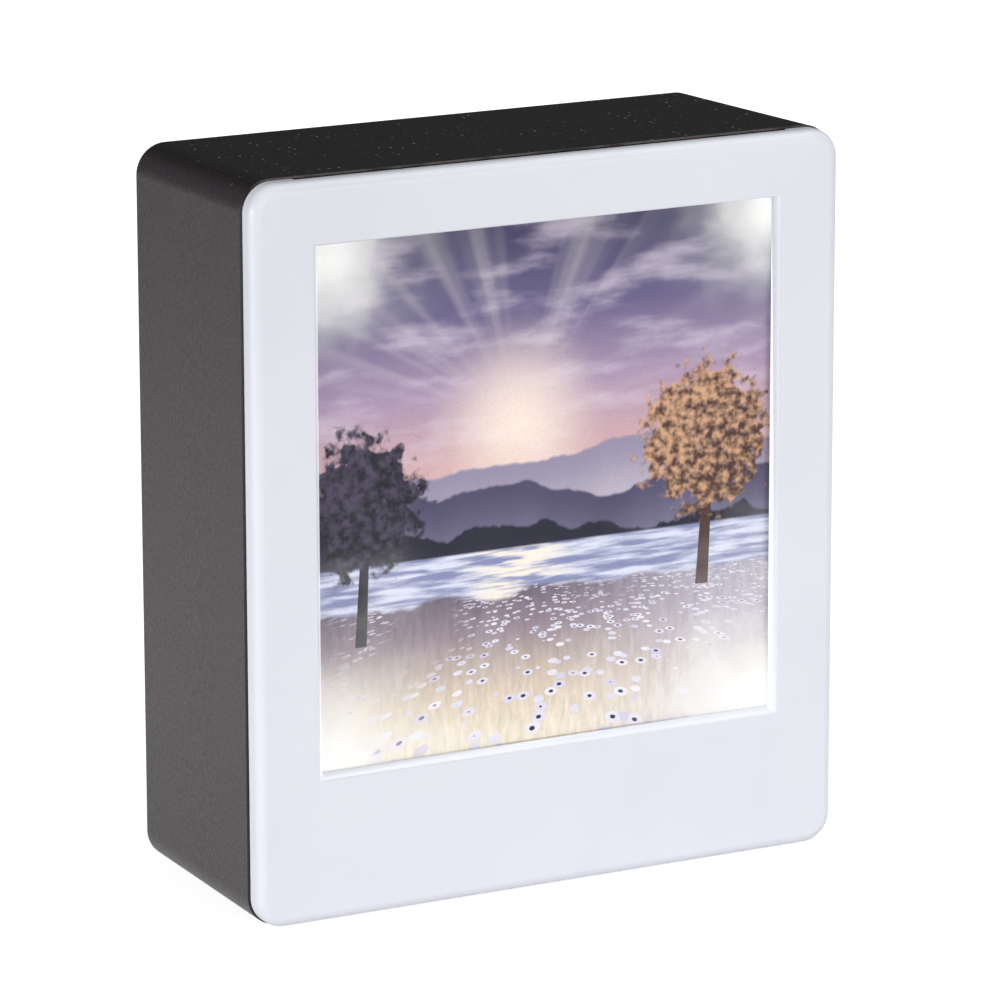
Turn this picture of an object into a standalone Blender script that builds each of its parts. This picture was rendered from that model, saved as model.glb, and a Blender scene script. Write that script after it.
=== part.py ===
"""Battery-lit photo frame: a deep black case, a white bezel and a print lit from behind.

The print drops in through a slot in the top. Four lamps in a white tray light it through an
opal panel. Three AA cells sit in a bay at the back, behind a door with a sprung latch.

Axes: X to the viewer's right, Y from front to back, Z up. The origin is under the middle of
the flat base. Depths, where named, are measured back from the face of the bezel.
"""

import math

import bmesh
import bpy

MM = 0.001

# Case and bezel
WIDTH = 125.0 * MM
HEIGHT = 142.5 * MM
DEPTH = 53.0 * MM
CORNER_RADIUS = 6.0 * MM
CASE_WALL = 2.0 * MM
CASE_DRAFT = 1.2 * MM
CASE_FRONT_CHAMFER = 0.35 * MM
CASE_BACK_ROUND = 0.9 * MM
SEAM_DEPTH = 4.0 * MM
SEAM_GAP = 0.2 * MM
BEZEL_STEP = 0.3 * MM
BEZEL_FACE = 1.6 * MM
BEZEL_WALL = 2.0 * MM
BEZEL_ROUND = 2.0 * MM
LIP_THICKNESS = 1.1 * MM
LIP_REACH = 2.0 * MM
LIP_CLEARANCE = 0.2 * MM

# Opening for the picture
APERTURE_TOP_MARGIN = 12.5 * MM
APERTURE_BOTTOM_MARGIN = 28.1 * MM
APERTURE_SLOPE = 1.1 * MM
APERTURE_EDGE = 0.3 * MM

# Stack behind the opening; the side margins leave a print 101.6 mm wide
PRINT_SIDE_MARGIN = 11.7 * MM
PRINT_HEIGHT = 112.0 * MM
PRINT_THICKNESS = 0.3 * MM
PRINT_OVERLAP = 2.6 * MM
WINDOW_THICKNESS = 0.8 * MM
DIFFUSER_THICKNESS = 1.5 * MM
PANEL_TOP_OVERLAP = 4.3 * MM
PANEL_BOTTOM_OVERLAP = 2.0 * MM
SHEET_GAP = 0.3 * MM
PRINT_SLACK = 0.4 * MM
SEAT_GAP = 0.2 * MM
SLOT_CLEARANCE = 1.4 * MM
SLOT_FRONT_DEPTH = 2.7 * MM

# Ribs and bosses behind the bezel
RIB = 1.2 * MM
GUIDE_CLEARANCE = 0.3 * MM
CHIN_RIB_PITCH = 18.0 * MM
CHIN_RIBS = 5
CHIN_RIB_REACH = 2.6 * MM
POST_INSET = 6.5 * MM
POST_RADIUS = 3.2 * MM
POST_LENGTH = 11.5 * MM
TRAY_BOSS_RADIUS = 2.8 * MM
TRAY_BOSS_INSET = 6.9 * MM
TRAY_BOSS_SPACING = 62.0 * MM

# Screw towers of the case
TOWER_RADIUS = 4.7 * MM
TOWER_BORE = 3.3 * MM
TOWER_SEAT = 2.4 * MM
TOWER_GAP = 0.3 * MM

# Light tray, boards and lamps
TRAY_WALL = 1.4 * MM
TRAY_FLOOR_DEPTH = 15.0 * MM
TRAY_MARGIN = 0.5 * MM
TRAY_FLARE = 2.4 * MM
TRAY_FLANGE = 4.0 * MM
TRAY_POST_CLEARANCE = 0.4 * MM
TRAY_EAR_HALF_HEIGHT = 4.5 * MM
BOARD_WIDTH = 7.5 * MM
BOARD_END_GAP = 0.3 * MM
BOARD_THICKNESS = 1.2 * MM
LAMP_SIDE_INSET = 6.3 * MM
LAMP_INSET = 4.8 * MM
LAMP_SIZE = 5.0 * MM
LAMP_HEIGHT = 1.1 * MM
LAMP_DOME = 0.6 * MM
LAMP_DOME_RADIUS = 1.9 * MM
SOLDER_GAP = 0.1 * MM
STAKE_RADIUS = 0.9 * MM
STAKE_SPACING = 56.0 * MM
STAKE_RISE = 0.8 * MM
RESISTOR_SIZE = (1.6 * MM, 0.6 * MM, 3.2 * MM)
RESISTOR_OFFSET = 20.0 * MM
PAD_PITCH = 4.0 * MM
PAD_SLOT_WIDTH = 4.0 * MM

# Cells and their bay
CELLS = 3
CELL_RADIUS = 7.15 * MM
CELL_LENGTH = 49.5 * MM
CELL_NUB_RADIUS = 2.75 * MM
CELL_NUB_HEIGHT = 1.0 * MM
CELL_EDGE = 0.5 * MM
CELL_NUB_EDGE = 0.2 * MM
CELL_PITCH = 15.0 * MM
CELL_END_CLEARANCE = 0.3 * MM
CELL_DOOR_GAP = 0.9 * MM
CELL_FLOOR_GAP = 0.8 * MM
BAY_BOTTOM = 16.2 * MM
BAY_SIDE_GAP = 0.35 * MM
BAY_WALL = 1.6 * MM
BAY_FRAME_DEPTH = 5.0 * MM
BAY_FRAME_BOTTOM = 2.4 * MM
SADDLE_X = 14.0 * MM
SADDLE_HEIGHT = 4.5 * MM
SADDLE_CLEARANCE = 0.35 * MM

# Contacts and springs
CONTACT_THICKNESS = 0.5 * MM
CONTACT_GAP = 0.1 * MM
CONTACT_WIDTH = 12.0 * MM
CONTACT_HEIGHT = 14.0 * MM
CONTACT_BUMP_RADIUS = 2.2 * MM
CONTACT_BUMP_TIP = 1.3 * MM
CONTACT_BUMP_HEIGHT = 0.9 * MM
CONTACT_TAB_WIDTH = 3.0 * MM
CONTACT_TAB_REACH = 3.4 * MM
CONTACT_RAIL = 1.2 * MM
SPRING_SPACE = 6.2 * MM
SPRING_WIRE = 0.7 * MM
SPRING_TURNS = 3
SPRING_BASE_RADIUS = 4.6 * MM
SPRING_TIP_RADIUS = 2.6 * MM
SPRING_POINTS = 9
SPRING_GAP = 0.2 * MM

# Battery door
DOOR_THICKNESS = 1.8 * MM
DOOR_CLEARANCE = 0.3 * MM
DOOR_REBATE = 1.9 * MM
DOOR_TAB_X = 16.0 * MM
DOOR_TAB_WIDTH = 8.0 * MM
DOOR_TAB_THICKNESS = 1.3 * MM
DOOR_TAB_REACH = 2.2 * MM
DOOR_TAB_GAP = 0.4 * MM
DOOR_TAB_SWING = 1.7 * MM
DOOR_RIB_HEIGHT = 2.0 * MM
LATCH_WIDTH = 12.0 * MM
LATCH_THICKNESS = 1.1 * MM
LATCH_DROP = 1.8 * MM
LATCH_RISE = 1.6 * MM
LATCH_DEPTH = 6.6 * MM
LATCH_PAD = 0.7 * MM
LATCH_SWING = 1.0 * MM
LATCH_SIDE_GAP = 0.6 * MM
GRIP_LINES = 5
GRIP_PITCH = 2.0 * MM

# Switch
SWITCH_X = 30.0 * MM
SWITCH_Z = 100.0 * MM
SWITCH_TRAVEL = 3.6 * MM
SWITCH_PAD_SIZE = (27.0 * MM, 15.0 * MM)
SWITCH_PAD_DEPTH = 2.0 * MM
SWITCH_RECESS_SIZE = (19.0 * MM, 9.4 * MM)
SWITCH_RECESS_DEPTH = 1.2 * MM
SWITCH_RECESS_SLOPE = 0.4 * MM
SWITCH_KNOB_SIZE = (4.6 * MM, 3.8 * MM)
SWITCH_KNOB_CLEARANCE = 0.4 * MM
SWITCH_KNOB_BELOW_BACK = 0.3 * MM
SWITCH_RIDGE_HEIGHT = 0.4 * MM
SWITCH_RIDGE_WIDTH = 0.66 * MM
SWITCH_CAN_SIZE = (13.0 * MM, 6.4 * MM, 5.2 * MM)
SWITCH_CAN_SLOT_DEPTH = 2.6 * MM
SWITCH_FLANGE_LENGTH = 21.6 * MM
SWITCH_FLANGE_THICKNESS = 0.8 * MM
SWITCH_SCREW_SPACING = 17.4 * MM
SWITCH_PIN_PITCH = 4.0 * MM
SWITCH_PIN_LENGTH = 3.0 * MM
SWITCH_PIN_WIDTH = 1.2 * MM

# Screws: head radius, head height, shank radius, shank length
CASE_SCREW = (2.8 * MM, 2.0 * MM, 1.3 * MM, 10.4 * MM)
TRAY_SCREW = (2.3 * MM, 1.5 * MM, 0.95 * MM, 4.4 * MM)
SWITCH_SCREW = (1.8 * MM, 1.2 * MM, 0.8 * MM, 2.7 * MM)
PILOT_CLEARANCE = 0.2 * MM
HOLE_CLEARANCE = 0.4 * MM
PILOT_END_GAP = 0.5 * MM
HEAD_RIM = 0.45
POINT_SHARE = 0.3
CROSS_WIDTH = 0.6 * MM
CROSS_REACH = 0.62

# Wires
WIRE_RADIUS = 0.6 * MM
WIRE_STEP = 2.6 * MM
WIRE_END_GAP = 0.3 * MM
ROUTE_UNIT = 1.0 * MM

# Booleans run past the faces they cut or join by this much
OVERCUT = 1.0 * MM
BITE = 0.3 * MM

# Facets
CORNER_STEPS = 6
ROUND_STEPS = 4
ROUND_END = 0.98
SHARP_ANGLE = math.radians(35.0)

# Places worked out from the sizes above
FRONT = -DEPTH / 2
BACK = DEPTH / 2
BEZEL_RADIUS = CORNER_RADIUS - BEZEL_STEP
APERTURE_BOTTOM = APERTURE_BOTTOM_MARGIN
APERTURE_TOP = HEIGHT - APERTURE_TOP_MARGIN
PRINT_WIDTH = WIDTH - 2 * PRINT_SIDE_MARGIN
VISIBLE_HALF_WIDTH = PRINT_WIDTH / 2 - PRINT_OVERLAP
VISIBLE_BOTTOM = APERTURE_BOTTOM + APERTURE_SLOPE
VISIBLE_TOP = APERTURE_TOP - APERTURE_SLOPE
LEDGE_Z = VISIBLE_BOTTOM - PANEL_BOTTOM_OVERLAP
PANEL_BOTTOM = LEDGE_Z + GUIDE_CLEARANCE
PANEL_TOP = VISIBLE_TOP + PANEL_TOP_OVERLAP
WINDOW_DEPTH = BEZEL_FACE + SEAT_GAP
PRINT_DEPTH = WINDOW_DEPTH + WINDOW_THICKNESS + SHEET_GAP
DIFFUSER_DEPTH = PRINT_DEPTH + PRINT_THICKNESS + PRINT_SLACK
FLANGE_DEPTH = DIFFUSER_DEPTH + DIFFUSER_THICKNESS + SEAT_GAP
SLOT_LENGTH = PRINT_WIDTH + 2 * SLOT_CLEARANCE
GUIDE_X = PRINT_WIDTH / 2 + GUIDE_CLEARANCE
GUIDE_DEPTH = FLANGE_DEPTH - SEAT_GAP
POST_X = WIDTH / 2 - POST_INSET
POST_Z = (POST_INSET, HEIGHT - POST_INSET)
POST_END = BEZEL_FACE + POST_LENGTH
TOWER_START = POST_END + TOWER_GAP
SCREW_SEAT = TOWER_START + TOWER_SEAT + SEAT_GAP
BOARD_DEPTH = TRAY_FLOOR_DEPTH - SEAT_GAP - BOARD_THICKNESS
BOARD_Z = (VISIBLE_BOTTOM + VISIBLE_TOP) / 2
BOARD_LENGTH = VISIBLE_TOP - VISIBLE_BOTTOM + 2 * (TRAY_MARGIN - TRAY_FLARE - BOARD_END_GAP)
LAMP_X = VISIBLE_HALF_WIDTH - LAMP_SIDE_INSET
TRAY_BOSS_X = WIDTH / 2 - TRAY_BOSS_INSET
TRAY_BOSS_Z = (BOARD_Z - TRAY_BOSS_SPACING / 2, BOARD_Z + TRAY_BOSS_SPACING / 2)
LAMP_DEPTH = BOARD_DEPTH - SOLDER_GAP - LAMP_HEIGHT
CELL_Y = BACK - DOOR_THICKNESS - CELL_DOOR_GAP - CELL_RADIUS
BAY_FLOOR_Y = CELL_Y - CELL_RADIUS - CELL_FLOOR_GAP
BAY_TOP = BAY_BOTTOM + 2 * BAY_SIDE_GAP + 2 * CELL_RADIUS + (CELLS - 1) * CELL_PITCH
CELL_Z = [BAY_BOTTOM + BAY_SIDE_GAP + CELL_RADIUS + i * CELL_PITCH for i in range(CELLS)]
PLATE_SPACE = CONTACT_GAP + CONTACT_THICKNESS
BAY_LENGTH = (
    CELL_LENGTH + CELL_NUB_HEIGHT + SPRING_SPACE + 2 * PLATE_SPACE
    + CONTACT_BUMP_HEIGHT + CELL_END_CLEARANCE
)
BAY_HALF = BAY_LENGTH / 2
DOOR_HALF = BAY_HALF + DOOR_REBATE
DOOR_BOTTOM = BAY_BOTTOM - DOOR_REBATE
DOOR_TOP = BAY_TOP + DOOR_REBATE
LATCH_TOP = DOOR_TOP + LATCH_RISE + LATCH_THICKNESS + LATCH_PAD
LATCH_POCKET_TOP = LATCH_TOP + LATCH_SWING
SWITCH_FACE_Y = BACK - CASE_WALL - SWITCH_PAD_DEPTH - SEAT_GAP


# Helpers

def at_depth(depth):
    """Y of a point that lies this far behind the bezel's face."""
    return FRONT + depth


def linear(value):
    """A screen colour value from 0 to 255 as linear light."""
    value /= 255.0
    return value / 12.92 if value <= 0.04045 else ((value + 0.055) / 1.055) ** 2.4


def material(name, colour, roughness, metallic=0.0, transmission=0.0, glow=0.0):
    """A Principled material from a screen colour."""
    made = bpy.data.materials.new(name)
    made.use_nodes = True
    shader = made.node_tree.nodes["Principled BSDF"]
    rgba = tuple(linear(c) for c in colour) + (1.0,)
    shader.inputs["Base Color"].default_value = rgba
    shader.inputs["Roughness"].default_value = roughness
    shader.inputs["Metallic"].default_value = metallic
    shader.inputs["Transmission Weight"].default_value = transmission
    shader.inputs["Emission Color"].default_value = rgba
    shader.inputs["Emission Strength"].default_value = glow
    made.diffuse_color = rgba
    return made


def new_object(name, mesh, finish=None, location=(0.0, 0.0, 0.0)):
    """Put a mesh in the scene under a name, with its finish."""
    made = bpy.data.objects.new(name, mesh)
    bpy.context.scene.collection.objects.link(made)
    made.location = location
    if finish is not None:
        mesh.materials.append(finish)
    return made


def solid_from(name, vertices, faces, finish=None, location=(0.0, 0.0, 0.0), smooth=True):
    """A closed mesh with its faces turned outwards."""
    mesh = bpy.data.meshes.new(name)
    mesh.from_pydata(vertices, [], faces)
    work = bmesh.new()
    work.from_mesh(mesh)
    bmesh.ops.recalc_face_normals(work, faces=work.faces)
    work.to_mesh(mesh)
    work.free()
    if smooth:
        mesh.shade_smooth()
        mesh.set_sharp_from_angle(angle=SHARP_ANGLE)
    return new_object(name, mesh, finish, location)


def loft(name, rings, finish=None, location=(0.0, 0.0, 0.0)):
    """Join rings of equal length with quads and close both ends."""
    count = len(rings[0])
    vertices = [point for ring in rings for point in ring]
    faces = [list(range(count))[::-1]]
    for level in range(len(rings) - 1):
        low = level * count
        for i in range(count):
            j = (i + 1) % count
            faces.append((low + i, low + j, low + count + j, low + count + i))
    last = (len(rings) - 1) * count
    faces.append(list(range(last, last + count)))
    return solid_from(name, vertices, faces, finish, location)


def box(name, x, y, z, finish=None, location=(0.0, 0.0, 0.0)):
    """A box between three pairs of coordinates."""
    rings = [[(x[0], v, z[0]), (x[1], v, z[0]), (x[1], v, z[1]), (x[0], v, z[1])] for v in y]
    return loft(name, rings, finish, location)


def outline(x, z, radius=0.0, steps=CORNER_STEPS):
    """Points round a rectangle in X and Z, with round corners if a radius is given."""
    if radius <= 0.0:
        return [(x[0], z[0]), (x[1], z[0]), (x[1], z[1]), (x[0], z[1])]
    corners = [
        (x[0] + radius, z[0] + radius, 180.0),
        (x[1] - radius, z[0] + radius, 270.0),
        (x[1] - radius, z[1] - radius, 0.0),
        (x[0] + radius, z[1] - radius, 90.0),
    ]
    points = []
    for centre_x, centre_z, start in corners:
        for k in range(steps + 1):
            angle = math.radians(start + 90.0 * k / steps)
            points.append((centre_x + radius * math.cos(angle), centre_z + radius * math.sin(angle)))
    return points


def slab(name, points, y, finish=None):
    """An outline in X and Z, run straight between two Y values."""
    return loft(name, [[(px, v, pz) for px, pz in points] for v in y], finish)


def rod(name, centre, radius, y, segments=16, finish=None):
    """A cylinder along Y about a point given by X and Z."""
    angles = [2.0 * math.pi * (k + 0.5) / segments for k in range(segments)]
    points = [(centre[0] + radius * math.cos(a), centre[1] + radius * math.sin(a)) for a in angles]
    return slab(name, points, y, finish)


def turned(name, profile, segments, finish=None, location=(0.0, 0.0, 0.0), axis="X"):
    """Spin a profile of (distance along, radius) about an axis; both ends meet the axis."""
    vertices = []
    faces = []

    def place(along, radius, angle):
        across = (radius * math.cos(angle), radius * math.sin(angle))
        if axis == "X":
            return (along, across[0], across[1])
        return (across[0], along, across[1])

    vertices.append(place(profile[0][0], 0.0, 0.0))
    for along, radius in profile[1:-1]:
        for k in range(segments):
            vertices.append(place(along, radius, 2.0 * math.pi * (k + 0.5) / segments))
    vertices.append(place(profile[-1][0], 0.0, 0.0))
    tip = len(vertices) - 1
    rings = len(profile) - 2
    for k in range(segments):
        n = (k + 1) % segments
        faces.append((0, 1 + n, 1 + k))
        for ring in range(rings - 1):
            low = 1 + ring * segments
            faces.append((low + k, low + n, low + segments + n, low + segments + k))
        low = 1 + (rings - 1) * segments
        faces.append((low + k, low + n, tip))
    return solid_from(name, vertices, faces, finish, location)


def combine(target, operation, tools):
    """Join or cut with other objects, which are kept as wire guides until the target is settled."""
    for tool in tools:
        tool.hide_render = True
        tool.display_type = "WIRE"
        step = target.modifiers.new(tool.name, "BOOLEAN")
        step.operation = operation
        step.solver = "EXACT"
        step.object = tool


def cut(target, *tools):
    """Take the tools away from the target."""
    combine(target, "DIFFERENCE", tools)


def fuse(target, *tools):
    """Add the tools to the target as one body."""
    combine(target, "UNION", tools)


def guides_of(target):
    """Every guide that shapes an object, with the guides' own."""
    found = []
    for step in target.modifiers:
        if step.type == "BOOLEAN":
            found += [step.object, *guides_of(step.object)]
    return found


def settle(target):
    """Turn the result of the modifiers into the object's own mesh and drop the guides."""
    guides = guides_of(target)
    bpy.context.view_layer.update()
    mesh = bpy.data.meshes.new_from_object(target.evaluated_get(bpy.context.evaluated_depsgraph_get()))
    target.modifiers.clear()
    target.data = mesh
    mesh.name = target.name
    mesh.shade_smooth()
    mesh.set_sharp_from_angle(angle=SHARP_ANGLE)
    for guide in guides:
        bpy.data.objects.remove(guide, do_unlink=True)
    return target


def mirrored(value):
    return (-value, value)


# Finishes

def case_black():
    return material("case_black", (62, 59, 62), 0.55)


def bezel_white():
    return material("bezel_white", (226, 228, 236), 0.35)


def clear_sheet():
    return material("clear_sheet", (245, 248, 250), 0.05, transmission=1.0)


def print_paper():
    return material("print_paper", (168, 164, 176), 0.5, glow=0.6)


def opal_sheet():
    return material("opal_sheet", (246, 246, 244), 0.4, glow=0.4)


def tray_white():
    return material("tray_white", (240, 240, 238), 0.5)


def board_white():
    return material("board_white", (232, 234, 230), 0.45)


def lamp_lens():
    return material("lamp_lens", (250, 246, 226), 0.2, glow=3.0)


def chip_black():
    return material("chip_black", (36, 36, 38), 0.4)


def steel():
    return material("plated_steel", (188, 190, 192), 0.25, metallic=1.0)


def cell_sleeve():
    return material("cell_sleeve", (60, 62, 66), 0.35)


def wire_red():
    return material("wire_red", (172, 30, 28), 0.45)


def wire_black():
    return material("wire_black", (24, 24, 26), 0.45)


# Case

def case_ring(y, inset):
    """The case's outline at one depth, drawn in by an inset; its sides and top taper to the back."""
    run = (y - at_depth(SEAM_DEPTH)) / (BACK - at_depth(SEAM_DEPTH))
    taper = CASE_DRAFT * max(run, 0.0)
    side = WIDTH / 2 - taper - inset
    points = outline((-side, side), (inset, HEIGHT - taper - inset), CORNER_RADIUS - inset)
    return [(px, y, pz) for px, pz in points]


def case_shell(finish):
    """The open tub: chamfered front edge, straight drafted walls and a rounded back edge."""
    front = at_depth(SEAM_DEPTH)
    rings = [case_ring(front, CASE_FRONT_CHAMFER), case_ring(front + CASE_FRONT_CHAMFER, 0.0)]
    for k in range(ROUND_STEPS):
        angle = math.pi / 2 * k / (ROUND_STEPS - 1)
        y = BACK - CASE_BACK_ROUND * (1.0 - math.sin(angle))
        rings.append(case_ring(y, CASE_BACK_ROUND * (1.0 - math.cos(angle))))
    shell = loft("rear_case", rings, finish)
    hollow = loft("case_hollow", [
        case_ring(front - OVERCUT, CASE_WALL),
        case_ring(BACK - CASE_WALL, CASE_WALL),
    ])
    cut(shell, hollow)
    return shell


def add_towers(case):
    """Four screw towers run forward from the back, each with a deep bore and a seat."""
    for x in mirrored(POST_X):
        for z in POST_Z:
            tag = f"{'left' if x < 0 else 'right'}_{'bottom' if z < HEIGHT / 2 else 'top'}"
            fuse(case, rod(f"tower_{tag}", (x, z), TOWER_RADIUS,
                           (at_depth(TOWER_START), BACK - CASE_WALL + BITE), 20))
            cut(case, rod(f"tower_bore_{tag}", (x, z), TOWER_BORE,
                          (at_depth(TOWER_START + TOWER_SEAT), BACK + OVERCUT), 20))
            cut(case, rod(f"tower_hole_{tag}", (x, z), CASE_SCREW[2] + HOLE_CLEARANCE,
                          (at_depth(TOWER_START) - OVERCUT, at_depth(TOWER_START + TOWER_SEAT) + BITE), 16))


def add_bay(case):
    """The bay for the cells, with its thick rim for the door and a pocket for the latch."""
    inner_x = (-BAY_HALF, BAY_HALF)
    inner_z = (BAY_BOTTOM, BAY_TOP)
    wall_x = (-BAY_HALF - BAY_WALL, BAY_HALF + BAY_WALL)
    wall_z = (BAY_BOTTOM - BAY_WALL, BAY_TOP + BAY_WALL)
    inside = BACK - CASE_WALL
    rim = DOOR_HALF + DOOR_CLEARANCE + BAY_WALL
    rim_z = (DOOR_BOTTOM - DOOR_TAB_REACH - DOOR_CLEARANCE - BAY_FRAME_BOTTOM + CASE_FRONT_CHAMFER,
             DOOR_TOP + DOOR_CLEARANCE + BAY_WALL)
    pocket_x = LATCH_WIDTH / 2 + LATCH_SIDE_GAP
    pocket_y = inside - LATCH_DEPTH - SWITCH_KNOB_CLEARANCE
    fuse(case,
         box("bay_walls", wall_x, (BAY_FLOOR_Y - BAY_WALL, inside + BITE), wall_z),
         box("bay_rim", (-rim, rim), (inside - BAY_FRAME_DEPTH, inside + BITE), rim_z),
         box("latch_pocket_walls", (-pocket_x - BAY_WALL, pocket_x + BAY_WALL),
             (pocket_y - BAY_WALL, inside + BITE), (BAY_TOP - BITE, LATCH_POCKET_TOP + BAY_WALL)))
    seat_y = BACK - DOOR_THICKNESS - DOOR_CLEARANCE
    cut(case,
        box("bay_space", inner_x, (BAY_FLOOR_Y, BACK + OVERCUT), inner_z),
        box("door_rebate", (-DOOR_HALF - DOOR_CLEARANCE, DOOR_HALF + DOOR_CLEARANCE),
            (seat_y, BACK + OVERCUT), (DOOR_BOTTOM - DOOR_CLEARANCE, DOOR_TOP + DOOR_CLEARANCE)),
        box("latch_pocket", (-pocket_x, pocket_x), (pocket_y, BACK + OVERCUT),
            (BAY_TOP - OVERCUT, LATCH_POCKET_TOP)))
    for x in mirrored(DOOR_TAB_X):
        half = DOOR_TAB_WIDTH / 2 + DOOR_TAB_GAP
        cut(case, box(f"tab_pocket_{'left' if x < 0 else 'right'}", (x - half, x + half),
                      (inside - DOOR_TAB_GAP - DOOR_TAB_THICKNESS - DOOR_TAB_SWING, inside - BITE / 3),
                      (DOOR_BOTTOM - DOOR_TAB_REACH - DOOR_TAB_GAP, BAY_BOTTOM + OVERCUT)))


def add_saddles(case):
    """Two ribs across the bay, scooped to carry the cells."""
    for x in mirrored(SADDLE_X):
        tag = "left" if x < 0 else "right"
        saddle = box(f"saddle_{tag}", (x - RIB / 2, x + RIB / 2),
                     (BAY_FLOOR_Y - BITE, BAY_FLOOR_Y + SADDLE_HEIGHT),
                     (BAY_BOTTOM - BITE, BAY_TOP + BITE))
        for number, z in enumerate(CELL_Z):
            reach = RIB / 2 + OVERCUT
            radius = CELL_RADIUS + SADDLE_CLEARANCE
            scoop = turned(f"scoop_{tag}_{number}",
                           [(-reach, 0.0), (-reach, radius), (reach, radius), (reach, 0.0)],
                           32, location=(x, CELL_Y, z))
            cut(saddle, scoop)
        fuse(case, saddle)


def plate_span(cells):
    """Bottom and top of a contact that serves these cells."""
    return (CELL_Z[cells[0]] - CONTACT_WIDTH / 2, CELL_Z[cells[-1]] + CONTACT_WIDTH / 2)


def add_contact_seats(case):
    """Rails beside each contact, and a slot in the floor for each one that has a tab."""
    for name, side, cells, tab in contact_plan():
        low, high = plate_span(cells)
        wall = side * BAY_HALF
        inner = side * (BAY_HALF - PLATE_SPACE - CONTACT_GAP)
        x = sorted((inner, wall + side * BITE))
        for tag, z in (("low", low - SEAT_GAP - CONTACT_RAIL), ("high", high + SEAT_GAP)):
            z = (max(z, BAY_BOTTOM - BITE), min(z + CONTACT_RAIL, BAY_TOP + BITE))
            fuse(case, box(f"{name}_rail_{tag}", x,
                           (BAY_FLOOR_Y - BITE, CELL_Y + CONTACT_HEIGHT / 2), z))
        if tab is not None:
            middle = CELL_Z[tab]
            half = CONTACT_TAB_WIDTH / 2 + SEAT_GAP
            outer = side * (BAY_HALF + CONTACT_GAP)
            cut(case, box(f"{name}_slot", sorted((side * (BAY_HALF - PLATE_SPACE - SEAT_GAP), outer)),
                          (BAY_FLOOR_Y - BAY_WALL - OVERCUT, BAY_FLOOR_Y + BITE),
                          (middle - half, middle + half)))


def add_switch_seat(case):
    """A pad behind the back wall, a shallow recess, the knob's window and two pilot holes."""
    pad_x, pad_z = SWITCH_PAD_SIZE
    inside = BACK - CASE_WALL
    fuse(case, slab("switch_pad",
                    outline((SWITCH_X - pad_x / 2, SWITCH_X + pad_x / 2),
                            (SWITCH_Z - pad_z / 2, SWITCH_Z + pad_z / 2), RIB),
                    (inside - SWITCH_PAD_DEPTH, inside + BITE)))
    recess_x, recess_z = SWITCH_RECESS_SIZE
    floor_y = BACK - SWITCH_RECESS_DEPTH
    grown = SWITCH_RECESS_SLOPE * (SWITCH_RECESS_DEPTH + OVERCUT) / SWITCH_RECESS_DEPTH

    def recess_ring(y, grow):
        half_x = recess_x / 2 - SWITCH_RECESS_SLOPE + grow
        half_z = recess_z / 2 - SWITCH_RECESS_SLOPE + grow
        points = outline((SWITCH_X - half_x, SWITCH_X + half_x),
                         (SWITCH_Z - half_z, SWITCH_Z + half_z), half_z * ROUND_END)
        return [(px, y, pz) for px, pz in points]

    cut(case, loft("switch_recess", [recess_ring(floor_y, 0.0), recess_ring(BACK + OVERCUT, grown)]))
    knob_x, knob_z = SWITCH_KNOB_SIZE
    half_x = (knob_x + SWITCH_TRAVEL) / 2 + SWITCH_KNOB_CLEARANCE
    half_z = knob_z / 2 + SWITCH_KNOB_CLEARANCE
    cut(case, box("switch_window", (SWITCH_X - half_x, SWITCH_X + half_x),
                  (inside - SWITCH_PAD_DEPTH - OVERCUT, floor_y + BITE),
                  (SWITCH_Z - half_z, SWITCH_Z + half_z)))
    for x in mirrored(SWITCH_SCREW_SPACING / 2):
        tip = SWITCH_FACE_Y - SWITCH_FLANGE_THICKNESS - SEAT_GAP + SWITCH_SCREW[3]
        cut(case, rod(f"switch_pilot_{'left' if x < 0 else 'right'}", (SWITCH_X + x, SWITCH_Z),
                      SWITCH_SCREW[2] + PILOT_CLEARANCE,
                      (inside - SWITCH_PAD_DEPTH - OVERCUT, tip + BITE), 12))


def rear_case():
    case = case_shell(case_black())
    add_towers(case)
    add_bay(case)
    add_saddles(case)
    add_contact_seats(case)
    add_switch_seat(case)
    return settle(case)


# Bezel

def bezel_ring(y, inset):
    """The bezel's outline drawn in by an inset."""
    side = WIDTH / 2 - BEZEL_STEP - inset
    low = BEZEL_STEP + inset
    points = outline((-side, side), (low, HEIGHT - low), max(BEZEL_RADIUS - inset, RIB))
    return [(px, y, pz) for px, pz in points]


def bezel_shell(finish):
    """The face with its rounded edge, hollow behind."""
    rings = []
    for k in range(ROUND_STEPS + 1):
        angle = math.pi / 2 * k / ROUND_STEPS
        rings.append(bezel_ring(at_depth(BEZEL_ROUND * (1.0 - math.cos(angle))),
                                BEZEL_ROUND * (1.0 - math.sin(angle))))
    end = at_depth(SEAM_DEPTH - SEAM_GAP)
    rings.append(bezel_ring(end, 0.0))
    shell = loft("front_bezel", rings, finish)
    cut(shell, loft("bezel_hollow", [
        bezel_ring(at_depth(BEZEL_FACE), BEZEL_WALL),
        bezel_ring(end + OVERCUT, BEZEL_WALL),
    ]))
    return shell


def add_lip(bezel):
    """The lip that plugs into the case all round, but for the slot."""
    outer = CASE_WALL + LIP_CLEARANCE - BEZEL_STEP
    y = (at_depth(BEZEL_FACE) - BITE, at_depth(SEAM_DEPTH) + LIP_REACH)
    lip = loft("bezel_lip", [bezel_ring(v, outer) for v in y])
    cut(lip, loft("lip_inside", [bezel_ring(v, outer + LIP_THICKNESS)
                                 for v in (y[0] - OVERCUT, y[1] + OVERCUT)]))
    fuse(bezel, lip)


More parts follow.
